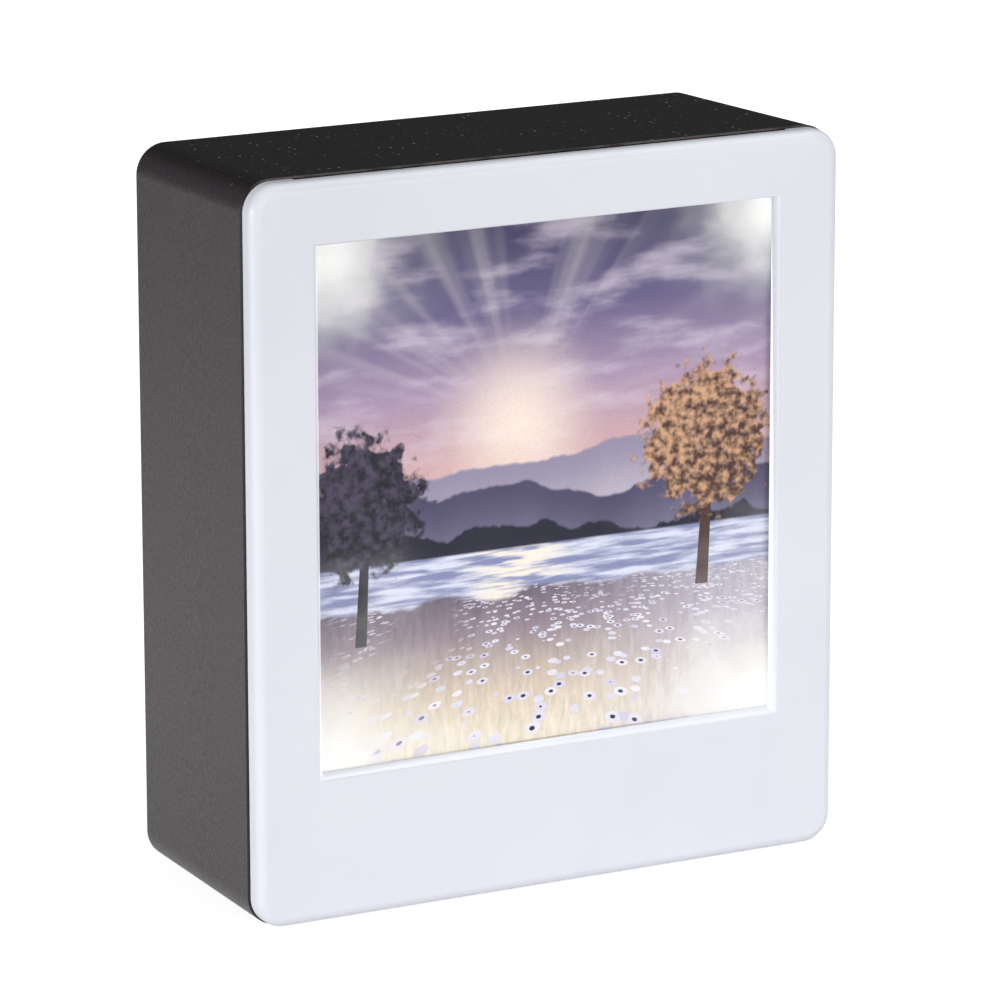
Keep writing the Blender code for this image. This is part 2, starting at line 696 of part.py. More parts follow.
def add_guides(bezel):
    """Side ribs and a ledge that hold the window, the print and the opal panel in line."""
    y = (at_depth(BEZEL_FACE) - BITE, at_depth(GUIDE_DEPTH))
    low = LEDGE_Z - RIB
    for x in (-1, 1):
        fuse(bezel, box(f"guide_{'left' if x < 0 else 'right'}",
                        sorted((x * GUIDE_X, x * (GUIDE_X + RIB))), y,
                        (low, HEIGHT - BEZEL_STEP - BEZEL_WALL - 3.0 * RIB)))
    fuse(bezel, box("ledge", (-GUIDE_X - BITE, GUIDE_X + BITE), y, (low, LEDGE_Z)))
    chin_y = (y[0], at_depth(BEZEL_FACE) + CHIN_RIB_REACH)
    for number in range(CHIN_RIBS):
        x = (number - (CHIN_RIBS - 1) / 2) * CHIN_RIB_PITCH
        fuse(bezel, box(f"chin_rib_{number}", (x - RIB / 2, x + RIB / 2), chin_y,
                        (BEZEL_STEP + BEZEL_WALL - BITE, low + BITE)))


def add_posts(bezel):
    """Corner posts for the case screws and side bosses for the tray screws."""
    root = at_depth(BEZEL_FACE) - BITE
    for x in mirrored(POST_X):
        for z in POST_Z:
            tag = f"{'left' if x < 0 else 'right'}_{'bottom' if z < HEIGHT / 2 else 'top'}"
            fuse(bezel, rod(f"post_{tag}", (x, z), POST_RADIUS, (root, at_depth(POST_END)), 20))
            cut(bezel, rod(f"post_pilot_{tag}", (x, z), CASE_SCREW[2] + PILOT_CLEARANCE,
                           (at_depth(SCREW_SEAT - CASE_SCREW[3] - PILOT_END_GAP),
                            at_depth(POST_END) + OVERCUT), 16))
    for x in mirrored(TRAY_BOSS_X):
        for number, z in enumerate(TRAY_BOSS_Z):
            tag = f"{'left' if x < 0 else 'right'}_{number}"
            fuse(bezel, rod(f"tray_boss_{tag}", (x, z), TRAY_BOSS_RADIUS,
                            (root, at_depth(GUIDE_DEPTH)), 16))
            tip = FLANGE_DEPTH + TRAY_WALL + SEAT_GAP - TRAY_SCREW[3]
            cut(bezel, rod(f"tray_pilot_{tag}", (x, z), TRAY_SCREW[2] + PILOT_CLEARANCE,
                           (at_depth(tip - PILOT_CLEARANCE), at_depth(GUIDE_DEPTH) + OVERCUT), 12))


def cut_aperture(bezel):
    """The square opening: a fine edge at the face, then walls that slope in to the picture."""
    def ring(depth, grow):
        half = VISIBLE_HALF_WIDTH + APERTURE_SLOPE + grow
        points = outline((-half, half), (APERTURE_BOTTOM - grow, APERTURE_TOP + grow))
        return [(px, at_depth(depth), pz) for px, pz in points]

    cut(bezel, loft("aperture", [
        ring(-OVERCUT, APERTURE_EDGE + OVERCUT),
        ring(0.0, APERTURE_EDGE),
        ring(APERTURE_EDGE, 0.0),
        ring(BEZEL_FACE, -APERTURE_SLOPE),
        ring(BEZEL_FACE + BITE, -APERTURE_SLOPE),
    ]))


def cut_slot(bezel):
    """The print's slot: a long notch in the rear edge of the bezel's top."""
    cut(bezel, box("print_slot", (-SLOT_LENGTH / 2, SLOT_LENGTH / 2),
                   (at_depth(SLOT_FRONT_DEPTH), at_depth(SEAM_DEPTH) + LIP_REACH + OVERCUT),
                   (HEIGHT - BEZEL_STEP - BEZEL_WALL - 3.0 * LIP_THICKNESS, HEIGHT + OVERCUT)))


def front_bezel():
    bezel = bezel_shell(bezel_white())
    add_lip(bezel)
    add_guides(bezel)
    add_posts(bezel)
    cut_aperture(bezel)
    cut_slot(bezel)
    return settle(bezel)


# Window, print and opal panel

def panel(name, thickness, depth, top, finish, bottom=None):
    """A flat sheet that stands on the ledge."""
    bottom = PANEL_BOTTOM if bottom is None else bottom
    half = PRINT_WIDTH / 2
    points = outline((-half, half), (0.0, top - bottom), RIB / 2, 2)
    made = loft(name, [[(px, v, pz) for px, pz in points] for v in (0.0, thickness)], finish)
    made.location = (0.0, at_depth(depth), bottom)
    return made


def sheets():
    panel("clear_window", WINDOW_THICKNESS, WINDOW_DEPTH, PANEL_TOP, clear_sheet())
    panel("photo_print", PRINT_THICKNESS, PRINT_DEPTH, PANEL_BOTTOM + PRINT_HEIGHT, print_paper())
    panel("diffuser_panel", DIFFUSER_THICKNESS, DIFFUSER_DEPTH, PANEL_TOP, opal_sheet())


# Light tray

def tray_ring(depth, half, low, high, radius):
    points = outline((-half, half), (low, high), radius, 3)
    return [(px, at_depth(depth), pz) for px, pz in points]


def light_tray():
    """A shallow white tray with flared walls, a flange round its mouth and four screw ears."""
    mouth = (VISIBLE_HALF_WIDTH + TRAY_MARGIN, VISIBLE_BOTTOM - TRAY_MARGIN, VISIBLE_TOP + TRAY_MARGIN)
    floor = (mouth[0] - TRAY_FLARE, mouth[1] + TRAY_FLARE, mouth[2] - TRAY_FLARE)
    radius = 2.0 * TRAY_WALL
    outside_floor = TRAY_FLOOR_DEPTH + TRAY_WALL
    tray = loft("light_tray", [
        tray_ring(FLANGE_DEPTH, mouth[0] + TRAY_WALL, mouth[1] - TRAY_WALL, mouth[2] + TRAY_WALL, radius),
        tray_ring(outside_floor, floor[0] + TRAY_WALL, floor[1] - TRAY_WALL, floor[2] + TRAY_WALL, radius),
    ], tray_white())
    flange_half = POST_X - POST_RADIUS - TRAY_POST_CLEARANCE
    low = mouth[1] - TRAY_FLANGE
    high = mouth[2] + TRAY_FLANGE
    flange_y = (at_depth(FLANGE_DEPTH), at_depth(FLANGE_DEPTH + TRAY_WALL))
    fuse(tray, slab("tray_flange", outline((-flange_half, flange_half), (low, high), radius), flange_y))
    for x in (-1, 1):
        for number, z in enumerate(TRAY_BOSS_Z):
            tag = f"{'left' if x < 0 else 'right'}_{number}"
            ear = TRAY_BOSS_X + TRAY_BOSS_RADIUS - SEAT_GAP
            ear_x = sorted((x * (flange_half - 2.0 * BITE), x * ear))
            fuse(tray, slab(f"tray_ear_{tag}",
                            outline(ear_x, (z - TRAY_EAR_HALF_HEIGHT, z + TRAY_EAR_HALF_HEIGHT),
                                    TRAY_WALL, 3), flange_y))
            cut(tray, rod(f"tray_hole_{tag}", (x * TRAY_BOSS_X, z), TRAY_SCREW[2] + HOLE_CLEARANCE / 2,
                          (flange_y[0] - OVERCUT, flange_y[1] + OVERCUT), 12))
    grow = TRAY_FLARE * OVERCUT / (TRAY_FLOOR_DEPTH - FLANGE_DEPTH)
    cut(tray, loft("tray_hollow", [
        tray_ring(FLANGE_DEPTH - OVERCUT, mouth[0] + grow, mouth[1] - grow, mouth[2] + grow, TRAY_WALL),
        tray_ring(TRAY_FLOOR_DEPTH, *floor, TRAY_WALL),
    ]))
    for x in mirrored(LAMP_X):
        tag = "left" if x < 0 else "right"
        for end in (-1, 1):
            fuse(tray, rod(f"stake_{tag}_{'low' if end < 0 else 'high'}",
                           (x, BOARD_Z + end * STAKE_SPACING / 2), STAKE_RADIUS,
                           (at_depth(BOARD_DEPTH - STAKE_RISE), at_depth(TRAY_FLOOR_DEPTH) + BITE), 10))
        reach = 1.5 * PAD_PITCH + SEAT_GAP
        cut(tray, slab(f"wire_slot_{tag}",
                       outline((x - PAD_SLOT_WIDTH / 2, x + PAD_SLOT_WIDTH / 2),
                               (BOARD_Z - reach, BOARD_Z + reach), PAD_SLOT_WIDTH / 2 * ROUND_END, 4),
                       (at_depth(TRAY_FLOOR_DEPTH) - BITE, at_depth(outside_floor) + OVERCUT)))
    return settle(tray)


# Boards and lamps

def led_board(side):
    """A narrow board staked to the tray's floor, with two lamps and a resistor."""
    tag = "left" if side < 0 else "right"
    x = side * LAMP_X
    y = (at_depth(BOARD_DEPTH), at_depth(BOARD_DEPTH + BOARD_THICKNESS))
    board = box(f"led_board_{tag}", (x - BOARD_WIDTH / 2, x + BOARD_WIDTH / 2), y,
                (BOARD_Z - BOARD_LENGTH / 2, BOARD_Z + BOARD_LENGTH / 2), board_white())
    for end in (-1, 1):
        cut(board, rod(f"board_hole_{tag}_{'low' if end < 0 else 'high'}",
                       (x, BOARD_Z + end * STAKE_SPACING / 2), STAKE_RADIUS + PILOT_CLEARANCE,
                       (y[0] - OVERCUT, y[1] + OVERCUT), 10))
    settle(board)
    for end in (-1, 1):
        z = VISIBLE_BOTTOM + LAMP_INSET if end < 0 else VISIBLE_TOP - LAMP_INSET
        lamp(f"led_{'bottom' if end < 0 else 'top'}_{tag}", x, z)
    size_x, size_y, size_z = RESISTOR_SIZE
    top = y[0] - SOLDER_GAP
    middle = BOARD_Z - RESISTOR_OFFSET + size_z
    chip = box(f"resistor_{tag}", (x - size_x / 2, x + size_x / 2), (top - size_y, top),
               (middle - size_z / 2, middle + size_z / 2), chip_black())
    rounding = chip.modifiers.new("edges", "BEVEL")
    rounding.width = size_y / 6
    rounding.segments = 1
    settle(chip)


def lamp(name, x, z):
    """A square package with a low round lens."""
    half = LAMP_SIZE / 2
    y = (at_depth(LAMP_DEPTH), at_depth(LAMP_DEPTH + LAMP_HEIGHT))
    trim = LAMP_HEIGHT / 4

    def ring(depth, inset):
        reach = half - inset
        return [(px, depth, pz) for px, pz in outline((x - reach, x + reach), (z - reach, z + reach))]

    body = loft(name, [ring(y[0], trim), ring(y[0] + trim, 0.0), ring(y[1], 0.0)], lamp_lens())
    profile = [(-LAMP_DOME, 0.0)]
    for k in range(1, 4):
        angle = math.pi / 2 * k / 3
        profile.append((-LAMP_DOME * math.cos(angle), LAMP_DOME_RADIUS * math.sin(angle)))
    profile += [(BITE, LAMP_DOME_RADIUS), (BITE, 0.0)]
    fuse(body, turned(f"{name}_lens", profile, 16, location=(x, y[0], z), axis="Y"))
    return settle(body)


# Cells, contacts and springs

def contact_plan():
    """Each contact's name, its side of the bay, the cells it serves and the cell whose tab leads out."""
    last = CELLS - 1
    plan = [("contact_negative", -1, (0,), 0)]
    for low in range(last):
        plan.append((f"contact_bridge_{low + 1}", nub_side(low), (low, low + 1), None))
    plan.append(("contact_positive", nub_side(last), (last,), last))
    return plan


def nub_side(cell):
    """Side of the bay that the cell's positive end faces; neighbours face opposite ways."""
    return 1 if cell % 2 == 0 else -1


def aa_cell(number):
    """One cell, turned about its own length and laid in its saddle."""
    end = CELL_LENGTH + CELL_NUB_HEIGHT
    profile = [
        (0.0, 0.0),
        (0.0, CELL_RADIUS - CELL_EDGE),
        (CELL_EDGE, CELL_RADIUS),
        (CELL_LENGTH - CELL_EDGE, CELL_RADIUS),
        (CELL_LENGTH, CELL_RADIUS - CELL_EDGE),
        (CELL_LENGTH, CELL_NUB_RADIUS),
        (end - CELL_NUB_EDGE, CELL_NUB_RADIUS),
        (end, CELL_NUB_RADIUS - CELL_NUB_EDGE),
        (end, 0.0),
    ]
    side = nub_side(number)
    start = BAY_HALF - PLATE_SPACE - CONTACT_BUMP_HEIGHT - CELL_END_CLEARANCE - end
    cell = turned(f"aa_cell_{number + 1}", profile, 24, cell_sleeve(),
                  (side * start, CELL_Y, CELL_Z[number]))
    if side < 0:
        cell.rotation_euler = (0.0, 0.0, math.pi)
    return cell


def contact(name, side, cells, tab):
    """A plated strip against the end wall, with a bump for each positive end."""
    low, high = plate_span(cells)
    outer = side * (BAY_HALF - CONTACT_GAP)
    inner = side * (BAY_HALF - PLATE_SPACE)
    floor_gap = BAY_FLOOR_Y + SEAT_GAP
    plate = box(name, sorted((inner, outer)), (floor_gap, CELL_Y + CONTACT_HEIGHT / 2 - SEAT_GAP),
                (low, high), steel())
    for cell in cells:
        if nub_side(cell) != side:
            continue
        root = side * BITE
        rise = -side * CONTACT_BUMP_HEIGHT
        profile = [(root, 0.0), (root, CONTACT_BUMP_RADIUS), (0.0, CONTACT_BUMP_RADIUS),
                   (rise, CONTACT_BUMP_TIP), (rise, 0.0)]
        fuse(plate, turned(f"{name}_bump", profile, 12, location=(inner, CELL_Y, CELL_Z[cell])))
    if tab is not None:
        half = CONTACT_TAB_WIDTH / 2
        fuse(plate, box(f"{name}_tab", sorted((inner, outer)),
                        (BAY_FLOOR_Y - CONTACT_TAB_REACH, floor_gap + BITE),
                        (CELL_Z[tab] - half, CELL_Z[tab] + half)))
    return settle(plate)


def spring_path(length):
    """Centre line of a tapering coil along X, with a straight stub at each end."""
    stub = SPRING_WIRE
    bend = SPRING_WIRE
    rise = length - 2.0 * (stub + bend)
    turns = SPRING_TURNS
    total = turns * SPRING_POINTS
    points = [(0.0, SPRING_BASE_RADIUS, 0.0), (stub, SPRING_BASE_RADIUS, 0.0)]
    for k in range(total + 1):
        part = k / total
        angle = 2.0 * math.pi * turns * part + bend / SPRING_BASE_RADIUS
        radius = SPRING_BASE_RADIUS + (SPRING_TIP_RADIUS - SPRING_BASE_RADIUS) * part
        points.append((stub + bend + rise * part, radius * math.cos(angle), radius * math.sin(angle)))
    angle += bend / SPRING_TIP_RADIUS
    tip = (SPRING_TIP_RADIUS * math.cos(angle), SPRING_TIP_RADIUS * math.sin(angle))
    points.append((length - stub, *tip))
    points.append((length, *tip))
    return points


def coil_gap(points):
    """Least distance between turns, from surface to surface."""
    least = math.inf
    reach = SPRING_POINTS * 2 // 3
    for i, a in enumerate(points):
        for b in points[i + reach:]:
            least = min(least, math.dist(a, b))
    return least - SPRING_WIRE


def tube(name, points, radius, resolution, finish):
    """A round tube along points, with closed ends."""
    curve = bpy.data.curves.new(name, "CURVE")
    curve.dimensions = "3D"
    curve.bevel_depth = radius
    curve.bevel_resolution = resolution
    curve.render_resolution_u = 0
    curve.use_fill_caps = True
    spline = curve.splines.new("POLY")
    spline.points.add(len(points) - 1)
    for point, place in zip(spline.points, points):
        point.co = (*place, 1.0)
    made = bpy.data.objects.new(name, curve)
    bpy.context.scene.collection.objects.link(made)
    curve.materials.append(finish)
    return made


def contact_spring(number):
    """The coil at a cell's flat end, seated on its contact."""
    side = -nub_side(number)
    plate = BAY_HALF - PLATE_SPACE - SPRING_GAP
    length = SPRING_SPACE - 2.0 * SPRING_GAP
    points = spring_path(length)
    if number == 0:
        print(f"spring: least gap between turns {coil_gap(points) / MM:.2f} mm")
    spring = tube(f"contact_spring_{number + 1}", points, SPRING_WIRE / 2, 1, steel())
    spring.location = (side * plate, CELL_Y, CELL_Z[number])
    if side > 0:
        spring.rotation_euler = (0.0, 0.0, math.pi)
    return spring


# Battery door

def latch_profile():
    """Side view of the sprung latch in Y and Z, from the door's inner face round to the finger pad."""
    t = LATCH_THICKNESS
    inner = BACK - DOOR_THICKNESS
    low = DOOR_TOP - LATCH_DROP
    high = DOOR_TOP + LATCH_RISE
    mid = (low + t + high) / 2
    outer_r = (high + t - low) / 2
    inner_r = outer_r - t
    bend_y = BACK - CASE_WALL - LATCH_DEPTH + outer_r
    points = [(inner + BITE, low), (bend_y, low)]
    steps = 6
    for k in range(1, steps):
        angle = -math.pi / 2 - math.pi * k / steps
        points.append((bend_y + outer_r * math.cos(angle), mid + outer_r * math.sin(angle)))
    pad_y = BACK - DOOR_CLEARANCE
    points += [(bend_y, high + t), (BACK - CASE_WALL, high + t), (pad_y - LATCH_PAD, LATCH_TOP),
               (pad_y, LATCH_TOP), (pad_y, high), (bend_y, high)]
    for k in range(1, steps):
        angle = math.pi / 2 + math.pi * k / steps
        points.append((bend_y + inner_r * math.cos(angle), mid + inner_r * math.sin(angle)))
    points += [(bend_y, low + t), (inner + BITE, low + t)]
    return points


def battery_door():
    """The door with its two tabs, stiffening ribs, sprung latch and grip lines."""
    hinge = (0.0, BACK, DOOR_BOTTOM)

    def local(y, z):
        return tuple(v - hinge[1] for v in y), tuple(v - hinge[2] for v in z)

    inner = BACK - DOOR_THICKNESS
    y, z = local((inner, BACK), (DOOR_BOTTOM, DOOR_TOP))
    points = outline((-DOOR_HALF, DOOR_HALF), z, RIB / 2, 2)
    door = loft("battery_door", [[(px, v, pz) for px, pz in points] for v in y], case_black())
    door.location = hinge
    tab_y = BACK - CASE_WALL - DOOR_TAB_GAP
    parts = []
    for x in mirrored(DOOR_TAB_X):
        tag = "left" if x < 0 else "right"
        span = (x - DOOR_TAB_WIDTH / 2, x + DOOR_TAB_WIDTH / 2)
        foot_y, foot_z = local((tab_y - DOOR_TAB_THICKNESS, inner + BITE),
                               (DOOR_BOTTOM + DOOR_CLEARANCE, DOOR_BOTTOM + DOOR_CLEARANCE + DOOR_TAB_REACH))
        tip_y, tip_z = local((tab_y - DOOR_TAB_THICKNESS, tab_y),
                             (DOOR_BOTTOM - DOOR_TAB_REACH, DOOR_BOTTOM + DOOR_CLEARANCE + BITE))
        foot = box(f"door_tab_foot_{tag}", span, foot_y, foot_z, location=hinge)
        tip = box(f"door_tab_tip_{tag}", span, tip_y, tip_z, location=hinge)
        parts += [foot, tip]
    for low_cell in range(CELLS - 1):
        middle = (CELL_Z[low_cell] + CELL_Z[low_cell + 1]) / 2
        rib_y, rib_z = local((inner - DOOR_RIB_HEIGHT, inner + BITE), (middle - RIB / 2, middle + RIB / 2))
        reach = BAY_HALF - SPRING_SPACE
        parts.append(box(f"door_rib_{low_cell}", (-reach, reach), rib_y, rib_z, location=hinge))
    half = LATCH_WIDTH / 2
    profile = [(py - hinge[1], pz - hinge[2]) for py, pz in latch_profile()]
    parts.append(loft("door_latch", [[(x, py, pz) for py, pz in profile] for x in (-half, half)],
                      location=hinge))
    fuse(door, *parts)
    first = DOOR_TOP - (GRIP_LINES + 1.5) * GRIP_PITCH
    for number in range(GRIP_LINES):
        middle = first + number * GRIP_PITCH
        groove_y, groove_z = local((BACK - BITE, BACK + OVERCUT), (middle - RIB / 4, middle + RIB / 4))
        cut(door, box(f"grip_line_{number}", (-LATCH_WIDTH, LATCH_WIDTH), groove_y, groove_z, location=hinge))
    return settle(door)


# Switch

def switch_body():
    """Slide switch: a can with a flange, a slot for the slider and three pins."""
    can_x, can_z, can_y = SWITCH_CAN_SIZE
    y = (SWITCH_FACE_Y - can_y, SWITCH_FACE_Y)
    body = box("switch_body", (SWITCH_X - can_x / 2, SWITCH_X + can_x / 2), y,
               (SWITCH_Z - can_z / 2, SWITCH_Z + can_z / 2), steel())
    half = SWITCH_FLANGE_LENGTH / 2
    fuse(body, slab("switch_flange",
                    outline((SWITCH_X - half, SWITCH_X + half),
                            (SWITCH_Z - can_z / 2 + BITE, SWITCH_Z + can_z / 2 - BITE), RIB, 3),
                    (y[1] - SWITCH_FLANGE_THICKNESS, y[1])))
    for pin in (-1, 0, 1):
        x = SWITCH_X + pin * SWITCH_PIN_PITCH
        fuse(body, box(f"switch_pin_{pin + 2}", (x - SWITCH_PIN_WIDTH / 2, x + SWITCH_PIN_WIDTH / 2),
                       (y[0] - SWITCH_PIN_LENGTH, y[0] + BITE),
                       (SWITCH_Z - CONTACT_THICKNESS / 2, SWITCH_Z + CONTACT_THICKNESS / 2)))
    for x in mirrored(SWITCH_SCREW_SPACING / 2):
        cut(body, rod(f"switch_hole_{'left' if x < 0 else 'right'}", (SWITCH_X + x, SWITCH_Z),
                      SWITCH_SCREW[2] + PILOT_CLEARANCE,
                      (y[1] - SWITCH_FLANGE_THICKNESS - OVERCUT, y[1] + OVERCUT), 12))
    knob_x, knob_z = SWITCH_KNOB_SIZE
    slot_x = (knob_x + SWITCH_TRAVEL) / 2 + SWITCH_KNOB_CLEARANCE
    slot_z = knob_z / 2 + SWITCH_KNOB_CLEARANCE - SEAT_GAP
    cut(body, box("switch_slot", (SWITCH_X - slot_x, SWITCH_X + slot_x),
                  (y[1] - SWITCH_CAN_SLOT_DEPTH, y[1] + OVERCUT), (SWITCH_Z - slot_z, SWITCH_Z + slot_z)))
    return settle(body)


def switch_slider():
    """The knob with its stem and three grip ridges; it rests at the on end of its travel."""
    knob_x, knob_z = SWITCH_KNOB_SIZE
    centre = (SWITCH_X + SWITCH_TRAVEL / 2, SWITCH_FACE_Y - SWITCH_CAN_SLOT_DEPTH + SEAT_GAP, SWITCH_Z)
    top = BACK - SWITCH_KNOB_BELOW_BACK - centre[1]
    flat = top - SWITCH_RIDGE_HEIGHT
    slider = box("switch_slider", (-knob_x / 2, knob_x / 2), (0.0, flat), (-knob_z / 2, knob_z / 2),
                 case_black(), centre)
    half = SWITCH_RIDGE_WIDTH / 2
    for number in (-1, 0, 1):
        x = number * 2.0 * SWITCH_RIDGE_WIDTH
        fuse(slider, box(f"knob_ridge_{number + 2}", (x - half, x + half), (flat - BITE, top),
                         (-knob_z / 2 + SEAT_GAP, knob_z / 2 - SEAT_GAP), location=centre))
    return settle(slider)


# Screws

def screw(name, sizes, centre, seat_y, way=1.0):
    """A round-headed screw with a cross recess; its head bears at seat_y and points along way."""
    head_radius, head_height, shank_radius, shank_length = sizes
    profile = [(head_height, 0.0)]
    for k in range(1, 4):
        angle = math.pi / 2 * k / 3
        along = head_height * (HEAD_RIM + (1.0 - HEAD_RIM) * math.cos(angle))
        profile.append((along, head_radius * math.sin(angle)))
    profile += [
        (0.0, head_radius),
        (0.0, shank_radius),
        (shank_radius - shank_length, shank_radius),
        (-shank_length, POINT_SHARE * shank_radius),
        (-shank_length, 0.0),
    ]
    profile = [(way * along, radius) for along, radius in profile]
    made = turned(name, profile, 16, steel(), (centre[0], seat_y, centre[1]), axis="Y")
    arm = CROSS_REACH * head_radius
    half = CROSS_WIDTH / 2
    y = sorted((seat_y + way * HEAD_RIM * head_height, seat_y + way * (head_height + OVERCUT)))
    cross = box(f"{name}_cross", (centre[0] - arm, centre[0] + arm), y,
                (centre[1] - half, centre[1] + half))
    fuse(cross, box(f"{name}_cross_arm", (centre[0] - half, centre[0] + half), y,
                    (centre[1] - arm, centre[1] + arm)))
    cut(made, cross)
    return settle(made)


def screws():
    """Case and tray screws point forward; the switch's two are driven from inside, towards the back."""
    for x in mirrored(POST_X):
        for z in POST_Z:
            tag = f"{'bottom' if z < HEIGHT / 2 else 'top'}_{'left' if x < 0 else 'right'}"
            screw(f"case_screw_{tag}", CASE_SCREW, (x, z), at_depth(SCREW_SEAT))
    for x in mirrored(TRAY_BOSS_X):
        for z, height in zip(TRAY_BOSS_Z, ("bottom", "top")):
            tag = f"{height}_{'left' if x < 0 else 'right'}"
            screw(f"tray_screw_{tag}", TRAY_SCREW, (x, z), at_depth(FLANGE_DEPTH + TRAY_WALL + SEAT_GAP))
    for x in mirrored(SWITCH_SCREW_SPACING / 2):
        screw(f"switch_screw_{'left' if x < 0 else 'right'}", SWITCH_SCREW, (SWITCH_X + x, SWITCH_Z),
              SWITCH_FACE_Y - SWITCH_FLANGE_THICKNESS - SEAT_GAP, way=-1.0)


# Wires

def smooth_route(route):
    """Points a step apart along a smooth curve through the route's own points."""
    ends = [tuple(2 * a - b for a, b in zip(route[0], route[1]))]
    ends.append(tuple(2 * a - b for a, b in zip(route[-1], route[-2])))
    full = [ends[0], *route, ends[1]]
    points = [route[0]]
    for k in range(1, len(full) - 2):
        before, start, end, after = full[k - 1:k + 3]
        tangents = [tuple((c - a) / math.dist(before, end) for a, c in zip(before, end)),
                    tuple((d - b) / math.dist(start, after) for b, d in zip(start, after))]
        run = math.dist(start, end)
        count = max(1, round(run / WIRE_STEP))
        for step in range(1, count + 1):
            t = step / count
            points.append(tuple(
                b * (2 * t ** 3 - 3 * t ** 2 + 1) + c * (3 * t ** 2 - 2 * t ** 3)
                + run * (p * (t ** 3 - 2 * t ** 2 + t) + q * (t ** 3 - t ** 2))
                for b, c, p, q in zip(start, end, *tangents)))
    return points


def pad_point(side, pad):
    """Where a wire meets a board: pads are numbered from the lowest."""
    y = at_depth(BOARD_DEPTH + BOARD_THICKNESS) + WIRE_END_GAP
    return (side * LAMP_X, y, BOARD_Z + (pad - 1) * PAD_PITCH)


def tab_point(side, cell):
    """Where a wire meets a contact's tab, inside the case."""
    x = side * (BAY_HALF - CONTACT_GAP - CONTACT_THICKNESS / 2)
    return (x, BAY_FLOOR_Y - CONTACT_TAB_REACH - WIRE_END_GAP, CELL_Z[cell])


def pin_point(pin):
    """Where a wire meets one of the switch's pins."""
    y = SWITCH_FACE_Y - SWITCH_CAN_SIZE[2] - SWITCH_PIN_LENGTH - WIRE_END_GAP
    return (SWITCH_X + pin * SWITCH_PIN_PITCH, y, SWITCH_Z)


def beside(point, x, y, z):
    """A point this many route units from another."""
    return (point[0] + x * ROUTE_UNIT, point[1] + y * ROUTE_UNIT, point[2] + z * ROUTE_UNIT)


def between(start, end, share, y, z):
    """A point part of the way between two, moved back and up by this many route units."""
    return beside(tuple(a + share * (b - a) for a, b in zip(start, end)), 0.0, y, z)


def wires():
    """Five leads behind the tray: cells, switch and boards in one loop."""
    positive = tab_point(nub_side(CELLS - 1), CELLS - 1)
    negative = tab_point(-nub_side(0), 0)
    common = pin_point(0)
    feed = pin_point(1)
    left = [pad_point(-1, pad) for pad in range(3)]
    right = [pad_point(1, pad) for pad in range(3)]
    routes = {
        "wire_cell_to_switch": [
            positive, beside(positive, 0.0, -2.2, 0.3), beside(positive, -0.2, -4.2, 2.2),
            beside(positive, -0.8, -4.6, 6.4), beside(positive, -1.8, -2.2, 14.0),
            beside(common, -2.4, -7.2, -21.0), beside(common, -1.4, -6.8, -10.0),
            beside(common, -0.5, -5.4, -4.6), beside(common, 0.0, -2.4, -0.6), common],
        "wire_switch_to_board": [
            feed, beside(feed, 0.0, -2.4, -0.4), beside(feed, 0.9, -5.6, -3.4),
            beside(feed, 4.5, -10.4, -10.0), beside(right[0], 2.2, 8.2, 10.0),
            beside(right[0], 1.2, 5.6, 4.0), beside(right[0], 0.2, 2.6, 0.6), right[0]],
        "wire_cell_to_board": [
            negative, beside(negative, 0.0, -2.2, 0.3), beside(negative, -0.7, -4.4, 2.2),
            beside(negative, -2.8, -5.8, 6.8), beside(negative, -7.4, -6.2, 16.0),
            beside(left[0], 0.6, 7.4, -24.0), beside(left[0], -0.6, 7.4, -12.0),
            beside(left[0], -0.4, 5.4, -4.2), beside(left[0], 0.0, 2.6, -0.6), left[0]],
        "wire_link_positive": [
            right[1], beside(right[1], -0.4, 2.4, 0.0), beside(right[1], -3.4, 5.2, 0.5),
            beside(right[1], -9.0, 6.8, 1.6), between(right[1], left[2], 0.26, 7.4, 2.1),
            between(right[1], left[2], 0.5, 8.0, 3.6), between(right[1], left[2], 0.74, 7.4, 3.2),
            beside(left[2], 9.0, 6.8, 1.3), beside(left[2], 3.4, 5.2, 0.5),
            beside(left[2], 0.4, 2.4, 0.0), left[2]],
        "wire_link_negative": [
            left[1], beside(left[1], 0.4, 2.6, 0.0), beside(left[1], 3.2, 6.0, -0.6),
            beside(left[1], 9.0, 8.8, -1.6), between(left[1], right[2], 0.26, 10.8, -3.6),
            between(left[1], right[2], 0.5, 11.4, -3.6), between(left[1], right[2], 0.74, 10.8, -1.8),
            beside(right[2], -9.0, 9.0, -1.4), beside(right[2], -3.2, 6.2, -0.2),
            beside(right[2], -0.4, 2.6, 0.0), right[2]],
    }
    for name, route in routes.items():
        finish = wire_black() if name in ("wire_cell_to_board", "wire_link_negative") else wire_red()
        tube(name, smooth_route(route), WIRE_RADIUS, 2, finish)


def clear_scene():
    for item in list(bpy.data.objects):
        bpy.data.objects.remove(item, do_unlink=True)


def main():
    clear_scene()
    rear_case()
    front_bezel()
    sheets()
    light_tray()
    for side in (-1, 1):
        led_board(side)
    for number in range(CELLS):
        aa_cell(number)
        contact_spring(number)
    for name, side, cells, tab in contact_plan():
        contact(name, side, cells, tab)
    battery_door()
    switch_body()
    switch_slider()
    screws()
    wires()


main()
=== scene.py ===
# %% [markdown]
# # A photo frame lit from behind
# The object is a deep black plastic case that stands on its own, closed at the front by a white
# moulded bezel. A print stands behind the bezel's square opening, and four small lamps in a white
# tray light it through an opal sheet. Three AA cells sit in the back, behind a door.
#
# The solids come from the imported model, already in place and in metres. This lesson dresses them:
# it rebuilds the curved pieces more finely, gives every surface a finish made of nodes, and sets
# a floor, lamps and a camera. The box of the bare solids is kept, to compare with at the end.

